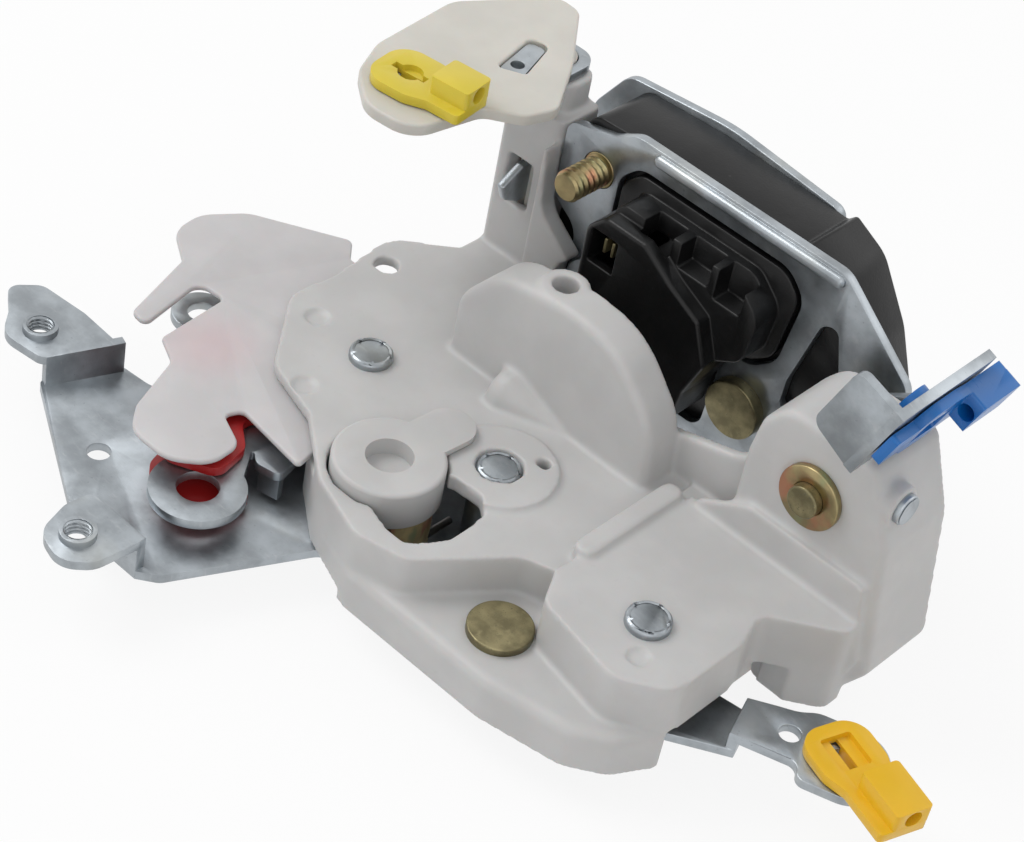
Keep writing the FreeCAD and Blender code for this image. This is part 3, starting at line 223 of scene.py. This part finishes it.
class Surface:
    """A material or a world under construction."""

    def __init__(self, owner, shader="Principled BSDF"):
        owner.use_nodes = True
        self.material = owner
        self.tree = owner.node_tree
        self.shader = self.tree.nodes[shader]
        self.place = self.node("ShaderNodeTexCoord", output="Object")

    def put(self, socket, value):
        if isinstance(value, Value):
            self.tree.links.new(value.socket, socket)
        else:
            socket.default_value = value

    def node(self, kind, settings=None, values=None, output=0):
        made = self.tree.nodes.new(kind)
        for name, value in (settings or {}).items():
            setattr(made, name, value)
        for key, value in (values or {}).items():
            self.put(made.inputs[key], value)
        return Value(self, made.outputs[output])

    def stretched(self, x, y, z):
        return self.node("ShaderNodeVectorMath", {"operation": "MULTIPLY"},
                         {0: self.place, 1: (x, y, z)})

    def near(self, point, inner, outer):
        """1 within inner metres of a point of the row frame, 0 beyond outer."""
        away = self.node("ShaderNodeVectorMath", {"operation": "DISTANCE"},
                         {0: self.place, 1: point}, output="Value")
        return 1 - away.between(inner, outer)

    def noise(self, size, detail=3.0, rough=0.5, place=None):
        """Cloudy 0..1 value whose features are about size metres across."""
        return self.node("ShaderNodeTexNoise", None, {
            "Vector": place or self.place, "Scale": 1.0 / size, "Detail": detail,
            "Roughness": rough})

    def cells(self, size, place=None):
        return self.node("ShaderNodeTexVoronoi", None,
                         {"Vector": place or self.place, "Scale": 1.0 / size})

    def mix(self, factor, first, second):
        return self.node("ShaderNodeMix", {"data_type": "RGBA"},
                         {0: factor, 6: first, 7: second}, output=2)

    def bump(self, height, strength, depth, under=None):
        values = {"Height": height, "Strength": strength, "Distance": depth}
        if under is not None:
            values["Normal"] = under
        return self.node("ShaderNodeBump", None, values)

    def seen(self):
        """1 for the camera and for mirror and glass rays, 0 for the light on the object."""
        path = {name: self.node("ShaderNodeLightPath", output=name)
                for name in ("Is Camera Ray", "Is Glossy Ray", "Is Transmission Ray")}
        both = path["Is Camera Ray"] + path["Is Glossy Ray"]
        return both.maths("ADD", both, path["Is Transmission Ray"], clamp=True)

    def finish(self, **inputs):
        for name, value in inputs.items():
            self.put(self.shader.inputs[name.replace("_", " ")], value)
        return self.material


def new_surface(name):
    return Surface(bpy.data.materials.new(name))


def tint(colour, factor):
    """The colour made lighter or darker."""
    return (*(min(1.0, channel * factor) for channel in colour[:3]), 1.0)


def nylon(name, colour, gloss=0.42, depth=0.0012, glow=0.16, grain=0.35, painted_show_through=None):
    """Moulded nylon: a little cloudy inside, with a fine tool texture and handling marks; the
    optional patch is painted light, a pink patch standing in for a red part glowing through the
    nylon.
    """
    s = new_surface(name)
    cloud = s.noise(0.012, 4)
    flow = s.noise(0.03, 3, 0.5, s.stretched(1, 1, 2.5))
    speck = s.noise(0.0011, 2)
    shade = s.mix(cloud.between(0.35, 0.7), tint(colour, 0.95), tint(colour, 1.03))
    shade = s.mix(flow.between(0.5, 0.75) * 0.5, shade, tint(colour, 0.93))
    shade = s.mix(speck.between(0.64, 0.78) * 0.22, shade, tint(colour, 0.86))
    # Painted light: a pink patch round a fixed point stands in for the red lever glowing through
    # the translucent plate.
    if painted_show_through:
        point, inner, outer, seen_through, amount = painted_show_through
        shade = s.mix(s.near(point, inner, outer) * amount, shade, seen_through)
    marks = s.noise(0.004, 3, 0.6, s.stretched(1, 3.5, 1))
    texture = s.noise(0.00028, 2)
    pits = s.noise(0.0016, 3)
    return s.finish(Base_Color=shade, Roughness=gloss + 0.16 * (cloud - 0.5) + 0.1 * marks,
                    Subsurface_Weight=glow, Subsurface_Scale=depth,
                    Normal=s.bump(texture, grain, 0.00003,
                                  s.bump(pits, 0.12, 0.0001, s.bump(cloud, 0.2, 0.0002))))


def zinc(name, colour, gloss=0.3, grain=0.5):
    """Zinc-plated sheet: blue-grey, clouded by handling, with fine rolling marks."""
    s = new_surface(name)
    cloud = s.noise(0.009, 5, 0.6)
    drift = s.noise(0.016, 3, 0.5)
    smear = s.noise(0.003, 4, 0.6, s.stretched(1, 4, 1))
    rolled = s.noise(0.0005, 3, 0.7, s.stretched(0.25, 3, 3))
    scuff = s.cells(0.0045, s.stretched(1, 2.5, 1))
    speck = s.noise(0.0006, 2)
    shade = s.mix(cloud.between(0.32, 0.68), tint(colour, 0.8), tint(colour, 1.2))
    shade = s.mix(drift.between(0.55, 0.75) * 0.25, shade, (0.62, 0.60, 0.50, 1))
    shade = s.mix(smear.between(0.55, 0.8) * 0.35, shade, (0.56, 0.57, 0.58, 1))
    shade = s.mix(speck.between(0.66, 0.8) * 0.45, shade, tint(colour, 0.5))
    return s.finish(Base_Color=shade, Metallic=0.92,
                    Roughness=gloss + 0.22 * (cloud - 0.5) + 0.12 * smear
                    + 0.06 * (1 - scuff.between(0.0, 0.5)),
                    Normal=s.bump(rolled, grain, 0.00004, s.bump(speck, 0.15, 0.00004)))


def chromate(name, colour, metal=0.95):
    """Yellow chromated steel with drifts of red and green."""
    s = new_surface(name)
    cloud = s.noise(0.005, 4, 0.55)
    drift = s.noise(0.006, 3, 0.5, s.stretched(1, 1.6, 0.8))
    shade = s.mix(cloud.between(0.35, 0.7), tint(colour, 0.75), tint(colour, 1.2))
    shade = s.mix(drift.between(0.5, 0.68) * 0.75, shade, (0.50, 0.20, 0.13, 1))
    shade = s.mix((1 - drift).between(0.56, 0.76) * 0.65, shade, (0.26, 0.36, 0.20, 1))
    fine = s.noise(0.0004, 3)
    return s.finish(Base_Color=shade, Metallic=metal, Roughness=0.24 + 0.16 * cloud,
                    Normal=s.bump(fine, 0.25, 0.00004))


def turned_brass(name, colour):
    """Headed pins with a tarnished, slightly greenish film."""
    s = new_surface(name)
    cloud = s.noise(0.004, 5, 0.6)
    fine = s.noise(0.0005, 4)
    worn = s.noise(0.0018, 3)
    shade = s.mix(cloud.between(0.35, 0.7), tint(colour, 0.62), tint(colour, 1.2))
    shade = s.mix(worn.between(0.6, 0.75) * 0.35, shade, tint(colour, 1.5))
    shade = s.mix(fine.between(0.58, 0.72) * 0.6, shade, (0.10, 0.10, 0.07, 1))
    return s.finish(Base_Color=shade, Metallic=0.9, Roughness=0.3 + 0.22 * cloud,
                    Normal=s.bump(fine, 0.3, 0.00004))


def black_nylon(name, colour, gloss=0.34):
    """Glass-filled black nylon with a satin tool texture and dusty patches."""
    s = new_surface(name)
    cloud = s.noise(0.006, 4)
    dust = s.noise(0.0009, 3)
    texture = s.noise(0.0004, 2)
    wave = s.noise(0.0022, 2)
    shade = s.mix(cloud.between(0.45, 0.8), colour, tint(colour, 2.0))
    shade = s.mix(dust.between(0.68, 0.8) * 0.25, shade, (0.08, 0.08, 0.08, 1))
    return s.finish(Base_Color=shade, Roughness=gloss + 0.24 * (cloud - 0.5),
                    Specular_IOR_Level=0.3,
                    Normal=s.bump(texture, 0.45, 0.00005, s.bump(wave, 0.3, 0.0001)))


def build_surfaces():
    c = colours()
    # Painted light: a pink patch where the red lock lever lies under the white lock plate, painted
    # for its glow through the nylon.
    painted_red_through = (spot(-21.7, -18.4, -2.8), 0.001, 0.013, (0.62, 0.33, 0.36, 1), 0.3)
    return {
        "housing_nylon": nylon("housing nylon", c.housing),
        "lever_nylon": nylon("lever nylon", c.lever, gloss=0.36, painted_show_through=painted_red_through),
        "red_nylon": nylon("red nylon", c.red, gloss=0.3, glow=0.05),
        "cream_nylon": nylon("cream nylon", c.cream, gloss=0.34),
        "zinc": zinc("zinc sheet", c.zinc),
        "chromate": chromate("chromate", c.gold),
        # Painted light: a lighter, less metallic copy of the chromate, so the shaded drum looks
        # lit through the housing's window.
        "painted_lit_drum_chromate": chromate("painted lit drum chromate", tint(c.gold, 1.9), 0.35),
        "brass_plate": turned_brass("brass plating", c.brass),
        "black_nylon": black_nylon("black nylon", c.black),
        "spring_steel": zinc("spring steel", c.spring, 0.3, 0.2),
        "contact_brass": turned_brass("contact brass", c.brass),
        "bumper_rubber": black_nylon("bumper rubber", c.rubber, 0.6),
        "yellow_clip": nylon("yellow acetal", c.yellow, gloss=0.28, glow=0.1, grain=0.2),
        "lemon_clip": nylon("lemon acetal", c.lemon, gloss=0.28, glow=0.1, grain=0.2),
        "blue_clip": nylon("blue acetal", c.blue, gloss=0.26, glow=0.08, grain=0.2),
    }


SURFACES = {}


def surface(slot):
    if not SURFACES:
        SURFACES.update(build_surfaces())
    return SURFACES[slot]


# ---------------------------------------------------------------- shared steps


def only(obj):
    """Makes obj the one selected and active object."""
    bpy.ops.object.select_all(action="DESELECT")
    obj.select_set(True)
    bpy.context.view_layer.objects.active = obj


def apply(obj, kind, **settings):
    only(obj)
    modifier = obj.modifiers.new(kind.title(), kind)
    for name, value in settings.items():
        setattr(modifier, name, value)
    bpy.ops.object.modifier_apply(modifier=modifier.name)


def smooth(obj, degrees=32):
    only(obj)
    bpy.ops.object.shade_smooth_by_angle(angle=math.radians(degrees))


def slot_of(node):
    for part in frame["record"]["subparts"]:
        if part["node"] == node:
            return part["material_slot"]
    raise KeyError(node)


def settle(obj, *nodes, slot=None):
    """The finished piece takes its body, its CAD nodes and its surface."""
    slot = slot or slot_of(nodes[0])
    obj.data.materials.clear()
    obj.data.materials.append(surface(slot))
    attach(obj, BODY_OF[nodes[0]])
    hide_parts(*nodes)
    return obj


def copied(node, name):
    """A free copy of a CAD node, its triangles merged into plain faces."""
    only(frame["nodes"][node])
    bpy.ops.object.duplicate()
    obj = bpy.context.active_object
    bpy.ops.object.parent_clear(type="CLEAR_KEEP_TRANSFORM")
    bpy.ops.object.transform_apply(location=True, rotation=True, scale=True)
    obj.name = name
    obj.data.name = name
    bpy.ops.object.mode_set(mode="EDIT")
    bpy.ops.mesh.select_all(action="SELECT")
    bpy.ops.mesh.remove_doubles(threshold=0.000002)
    bpy.ops.mesh.dissolve_limited(angle_limit=math.radians(0.6))
    bpy.ops.mesh.normals_make_consistent(inside=False)
    bpy.ops.object.mode_set(mode="OBJECT")
    return obj


# Nodes whose smallest arcs would otherwise hold every edge's rounding down to almost nothing.
CLAMPED = {"latch_body": False, "rear_cover": False}


def dressed(node, edge, segments=2, angle=30, shape=None):
    """The CAD node, worked on by shape where it is given, with broken edges."""
    obj = copied(node, node + "_look")
    if shape:
        shape(obj)
    apply(obj, "BEVEL", width=edge, segments=segments, limit_method="ANGLE",
          angle_limit=math.radians(angle), harden_normals=False, miter_outer="MITER_ARC",
          use_clamp_overlap=CLAMPED.get(node, True))
    smooth(obj, 40)
    return settle(obj, node)


def moulded(node, voxel, rounds, ratio):
    """The CAD node with the soft, flowing edges of a moulding."""
    obj = copied(node, node + "_look")
    apply(obj, "REMESH", mode="VOXEL", voxel_size=voxel, adaptivity=0.0)
    apply(obj, "SMOOTH", factor=0.5, iterations=rounds)
    apply(obj, "DECIMATE", ratio=ratio)
    only(obj)
    bpy.ops.object.shade_smooth()
    return settle(obj, node)


def work(obj, wanted, *steps):
    """Selects the faces that wanted(centre, normal) picks and runs each (operator, settings)."""
    only(obj)
    bpy.ops.object.mode_set(mode="EDIT")
    bpy.ops.mesh.select_mode(type="FACE")
    bpy.ops.mesh.select_all(action="DESELECT")
    bpy.ops.object.mode_set(mode="OBJECT")
    found = 0
    for face in obj.data.polygons:
        face.select = wanted(face.center, face.normal)
        found += face.select
    if not found:
        raise RuntimeError(f"{obj.name}: no face to work on")
    bpy.ops.object.mode_set(mode="EDIT")
    for operator, settings in steps:
        operator(**settings)
    bpy.ops.object.mode_set(mode="OBJECT")


def end_face(obj, axis, side):
    """A test for the flat faces at the end of obj along an axis (0, 1 or 2), side 1 or -1."""
    limit = max(vertex.co[axis] * side for vertex in obj.data.vertices)
    return lambda centre, normal: (normal[axis] * side > 0.99
                                   and centre[axis] * side > limit - 0.02 * MM)


def ringed(axis, side, *rings):
    """Works rings into a head: each is (how far in, how far up), in millimetres."""
    def shape(obj):
        steps = [(bpy.ops.mesh.inset, {"thickness": inward * MM, "depth": up * MM,
                                        "use_even_offset": False})
                 for inward, up in rings]
        work(obj, end_face(obj, axis, side), *steps)
    return shape


def rescaled(points, reach, scale):
    """Rescales the upright walls within reach of each upright axis (x, y), in millimetres."""
    def shape(obj):
        for x, y in points:
            axis = spot(x, y, 0)

            def wall(centre, normal, axis=axis):
                away = Vector((centre.x - axis.x, centre.y - axis.y))
                return away.length < reach * MM and abs(normal.z) < 0.1

            work(obj, wall, (bpy.ops.transform.resize, {
                "value": (scale, scale, 1), "center_override": tuple(axis)}))
    return shape


# A rolled rivet head: rim, trough, crown ring and a small dimple.
ROLLED = ((0.25, 0.0), (0.4, -0.13), (0.35, 0.0), (0.35, 0.11), (0.5, 0.0), (0.4, -0.15),
          (0.4, -0.08))


def threaded(name, node, start, axis, length, radius, depth, pitch, inside=False):
    """A helical thread as one closed skin: rings along the axis whose radius follows the helix."""
    steps, per_turn = 48, 12
    along = Vector(axis)
    side = along.orthogonal().normalized()
    other = along.cross(side)
    rings = int(length / pitch * per_turn)
    build = bmesh.new()
    rows = []
    for j in range(rings + 1):
        far = length * j / rings
        row = []
        for i in range(steps):
            turn = i / steps
            phase = (far / pitch - turn) % 1.0
            tooth = min(1.0, max(0.0, (abs(phase - 0.5) - 0.1) / 0.28))
            reach = radius - depth * (tooth if inside else 1 - tooth)
            if not inside:
                reach = min(reach, radius - depth * 1.1 + max(0.0, length - far) * 0.9)
            spin = turn * 2 * math.pi
            row.append(build.verts.new((start + along * far + (
                side * math.cos(spin) + other * math.sin(spin)) * reach)))
        rows.append(row)
    for low, high in zip(rows, rows[1:]):
        for i in range(steps):
            k = (i + 1) % steps
            build.faces.new((low[i], low[k], high[k], high[i]))
    if not inside:
        build.faces.new(list(reversed(rows[0])))
        build.faces.new(rows[-1])
    mesh = bpy.data.meshes.new(name)
    build.to_mesh(mesh)
    build.free()
    obj = bpy.data.objects.new(name, mesh)
    bpy.context.collection.objects.link(obj)
    if inside:
        only(obj)
        bpy.ops.object.mode_set(mode="EDIT")
        bpy.ops.mesh.select_all(action="SELECT")
        bpy.ops.mesh.flip_normals()
        bpy.ops.object.mode_set(mode="OBJECT")
    smooth(obj, 30)
    obj.data.materials.append(surface(slot_of(node)))
    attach(obj, BODY_OF[node])
    return obj


# ---------------------------------------------------------------- operators


class BuildHousing(bpy.types.Operator):
    """Models the white main housing."""
    bl_idname = "latch.housing"
    bl_label = "Main housing"

    def execute(self, context):
        moulded("main_housing", sizes().moulded_voxel, rounds=5, ratio=0.5)
        return {"FINISHED"}


# The bracket's tapped holes, in millimetres: centres and underside from the main pivot, then the
# thread's core and outer radius, depth, pitch and length.
LUG_HOLES = ((-47, -35.6), (-3, -63.7))
LUG_START = -9.95
THREAD_CORE, THREAD_OUTER = 2.1, 2.48
LUG_DEPTH, LUG_PITCH, LUG_LENGTH = 0.36, 0.8, 3.1


class BuildPlates(bpy.types.Operator):
    """Models the bracket and the two latch plates."""
    bl_idname = "latch.plates"
    bl_label = "Plates"

    def execute(self, context):
        for node in ("back_plate", "face_plate"):
            dressed(node, sizes().sheet_edge)
        dressed("base_plate", sizes().sheet_edge,
                shape=rescaled(LUG_HOLES, 2.3, THREAD_OUTER / THREAD_CORE))
        for number, (x, y) in enumerate(LUG_HOLES, 1):
            threaded(f"lug_thread_{number}_look", "base_plate", spot(x, y, LUG_START), (0, 0, 1),
                     LUG_LENGTH * MM, THREAD_OUTER * MM, LUG_DEPTH * MM, LUG_PITCH * MM,
                     inside=True)
        return {"FINISHED"}


KEY_PIVOT = (-6.8, 47.0)
SPINDLE_REACH, SPINDLE_SCALE = 3.6, 0.94


class BuildLevers(bpy.types.Operator):
    """Models the steel and nylon levers."""
    bl_idname = "latch.levers"
    bl_label = "Levers"

    def execute(self, context):
        for node in ("inside_handle_lever", "knob_lever", "release_lever", "lower_lever",
                     "outside_handle_lever", "key_link"):
            dressed(node, sizes().sheet_edge)
        for node in ("lock_plate", "lock_lever", "hub_lever", "key_tab"):
            dressed(node, sizes().moulded_edge)
        # The spindle is drawn in a little, to turn freely in the housing's softened bore.
        dressed("key_lever", sizes().moulded_edge,
                shape=rescaled((KEY_PIVOT,), SPINDLE_REACH, SPINDLE_SCALE))
        return {"FINISHED"}


# The drum round the hub's spring and the stud, in millimetres but for the core's scale.
DRUM_DROP, DRUM_GAP, DRUM_WALL, DRUM_RIM = 2.7, 0.04, 0.6, 0.25
PLATE_BACK = 42
STUD_RADIUS, STUD_DEPTH = 3.0, 0.5
STUD_CORE = (0.8, 0.985, 0.8)


class BuildPins(bpy.types.Operator):
    """Models rivets, pins, the sleeve, the washer and the stud."""
    bl_idname = "latch.pins"
    bl_label = "Rivets and pins"

    def execute(self, context):
        edge = sizes().sheet_edge
        for node in ("main_pivot_rivet", "plate_rivet", "lower_lever_rivet"):
            dressed(node, edge * 0.5, shape=ringed(2, 1, *ROLLED))
        dressed("side_rivet", edge * 0.5, shape=ringed(0, 1, *ROLLED[:4]))
        for node in ("release_pivot_pin", "pawl_pivot_pin", "handle_pivot_pin",
                     "handle_washer", "hub_sleeve", "fork_pivot_pin"):
            dressed(node, edge)
        self.drum()
        stud = dressed("threaded_stud", edge)
        self.thread(stud)
        return {"FINISHED"}

    @staticmethod
    def drum():
        """The plated drum that closes round the hub's spring, with a rolled rim; its surface is a
        lighter, less metallic copy of the chromate, painted light for the glow reaching it through
        the window.
        """
        low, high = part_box("hub_sleeve")
        middle = [(a + b) / 2 for a, b in zip(low, high)]
        rim = high[2] - DRUM_DROP * MM
        radius = (high[0] - low[0]) / 2 - DRUM_GAP * MM
        bpy.ops.object.select_all(action="DESELECT")
        bpy.ops.mesh.primitive_cylinder_add(
            vertices=sizes().facets, radius=radius, depth=rim - low[2], end_fill_type="NOTHING",
            location=(middle[0], middle[1], (rim + low[2]) / 2))
        obj = bpy.context.active_object
        bpy.ops.object.transform_apply(location=True, rotation=True, scale=True)
        obj.name = obj.data.name = "hub_drum_look"
        apply(obj, "SOLIDIFY", thickness=DRUM_WALL * MM, offset=-1)
        apply(obj, "BEVEL", width=DRUM_RIM * MM, segments=3, limit_method="ANGLE",
              angle_limit=math.radians(50))
        smooth(obj, 40)
        # Painted light: the drum takes the lightened chromate copy, not the sleeve's own chromate.
        obj.data.materials.append(surface("painted_lit_drum_chromate"))
        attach(obj, BODY_OF["hub_sleeve"])

    @staticmethod
    def thread(stud):
        """Cuts the plain end of the stud down to its core and winds the thread round it."""
        low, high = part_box("threaded_stud")
        back = spot(0, PLATE_BACK, 0).y
        middle = Vector(((low[0] + high[0]) / 2, back, (low[2] + high[2]) / 2))

        def core(centre, normal):
            return centre.y < back - 0.05 * MM

        work(stud, core, (bpy.ops.transform.resize,
                          {"value": STUD_CORE, "center_override": tuple(middle)}))
        threaded("stud_thread_look", "threaded_stud", middle, (0, -1, 0), middle.y - low[1],
                 STUD_RADIUS * MM, STUD_DEPTH * MM, sizes().thread_pitch)


WIRE_EDGE = 0.05


class BuildSprings(bpy.types.Operator):
    """Models the coil springs."""
    bl_idname = "latch.springs"
    bl_label = "Springs"

    def execute(self, context):
        for node in ("hub_spring", "fork_spring", "pawl_spring"):
            dressed(node, WIRE_EDGE * MM, 1, 50)
        return {"FINISHED"}


class BuildClips(bpy.types.Operator):
    """Models the three rod clips."""
    bl_idname = "latch.clips"
    bl_label = "Rod clips"

    def execute(self, context):
        for node in ("lower_rod_clip", "key_rod_clip", "outside_rod_clip"):
            dressed(node, sizes().clip_edge)
        return {"FINISHED"}


class BuildLatch(bpy.types.Operator):
    """Models the black latch block and what works inside it."""
    bl_idname = "latch.block"
    bl_label = "Latch block"

    def execute(self, context):
        for node in ("latch_body", "rear_cover", "striker_bumper", "switch_terminals",
                     "fork_bolt", "pawl"):
            dressed(node, sizes().clip_edge)
        return {"FINISHED"}


AMBIENT = 0.60               # strength of the plain white sky on the object
CAMERA_PLACE = (0.2223, -0.3373, 0.2715)
CAMERA_LOOK = (-0.438, 0.616, -0.655)
CAMERA_UP = (-0.539, 0.403, 0.740)
CAMERA_LENS = 93.55
SENSOR_WIDTH = 36
# Each lamp's place from the middle of the latch, its size in metres and its power in watts.
LAMPS = {
    "key_light": ((-0.74, -0.30, 1.02), 0.7, 6.8),
    "fill_light": ((0.75, -0.85, 0.75), 0.9, 2.0),
    "back_light": ((0.50, 0.95, 0.8), 0.8, 1.9),
}
FLOOR_SIZE, FLOOR_DROP = 6, 0.0002
FLOOR_WHITE = 0.88           # how much of the floor the camera sees as plain white


class BuildStage(bpy.types.Operator):
    """Sets the pale floor, the soft studio light and the camera."""
    bl_idname = "latch.stage"
    bl_label = "Stage"

    def execute(self, context):
        low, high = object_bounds()
        bpy.ops.object.select_all(action="DESELECT")
        bpy.ops.mesh.primitive_plane_add(size=FLOOR_SIZE, location=(0, 0, low[2] - FLOOR_DROP))
        floor = bpy.context.active_object
        floor.name = "studio_floor"
        s = new_surface("studio_floor")
        s.finish(Base_Color=colours().floor, Roughness=0.9, Specular_IOR_Level=0.0)
        self.whiten(s)
        floor.data.materials.append(s.material)
        middle = (Vector(low) + Vector(high)) / 2
        lights = []
        for name, (place, size, power) in LAMPS.items():
            bpy.ops.object.light_add(type="AREA", location=middle + Vector(place))
            light = bpy.context.active_object
            light.name = name
            light.data.name = name
            light.data.size = size
            light.data.energy = power
            light.rotation_euler = (-Vector(place)).to_track_quat("-Z", "Y").to_euler()
            lights.append(light)
        self.sky(context)
        look, up = Vector(CAMERA_LOOK).normalized(), Vector(CAMERA_UP)
        right = look.cross(up).normalized()
        up = right.cross(look).normalized()
        turn = Matrix((right, up, -look)).transposed().to_4x4()
        bpy.ops.object.camera_add()
        camera = bpy.context.active_object
        camera.name = "photo_camera"
        camera.matrix_world = Matrix.Translation(CAMERA_PLACE) @ turn
        camera.data.lens = CAMERA_LENS
        camera.data.sensor_width = SENSOR_WIDTH
        camera.data.clip_start = 0.01
        context.scene.camera = camera
        context.scene.view_settings.view_transform = "Standard"
        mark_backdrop(floor, camera, *lights)
        return {"FINISHED"}

    @staticmethod
    def whiten(s):
        """The camera sees the floor mostly as plain white, with the object's soft shadow."""
        output = s.tree.nodes["Material Output"]
        white = s.node("ShaderNodeEmission", None, {"Color": (1, 1, 1, 1), "Strength": 1.0})
        lit = Value(s, s.shader.outputs[0])
        both = s.node("ShaderNodeMixShader", None, {0: s.seen() * FLOOR_WHITE, 1: lit, 2: white})
        s.put(output.inputs["Surface"], both)

    @staticmethod
    def sky(context):
        world = bpy.data.worlds.new("studio")
        context.scene.world = world
        s = Surface(world, "Background")
        s.finish(Color=(1, 1, 1, 1), Strength=AMBIENT + (1 - AMBIENT) * s.seen())


class LatchPanel(bpy.types.Panel):
    bl_idname = "LATCH_PT_build"
    bl_label = "Door latch"
    bl_space_type = "VIEW_3D"
    bl_region_type = "UI"
    bl_category = "Latch"

    def draw(self, context):
        layout = self.layout
        for group in (context.scene.latch_sizes, context.scene.latch_colours):
            for name in group.__annotations__:
                layout.prop(group, name)
        for operator in BUILD_ORDER:
            layout.operator(operator.bl_idname)


BUILD_ORDER = (BuildHousing, BuildPlates, BuildLevers, BuildPins, BuildSprings, BuildClips,
               BuildLatch, BuildStage)
CLASSES = (LatchSizes, LatchColours, *BUILD_ORDER, LatchPanel)


def register():
    for cls in CLASSES:
        bpy.utils.register_class(cls)
    bpy.types.Scene.latch_sizes = PointerProperty(type=LatchSizes)
    bpy.types.Scene.latch_colours = PointerProperty(type=LatchColours)


def unregister():
    del bpy.types.Scene.latch_colours
    del bpy.types.Scene.latch_sizes
    for cls in reversed(CLASSES):
        bpy.utils.unregister_class(cls)


def main():
    register()
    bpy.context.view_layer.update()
    bpy.ops.latch.housing()
    bpy.ops.latch.plates()
    bpy.ops.latch.levers()
    bpy.ops.latch.pins()
    bpy.ops.latch.springs()
    bpy.ops.latch.clips()
    bpy.ops.latch.block()
    bpy.ops.latch.stage()


if __name__ == "__main__":
    main()
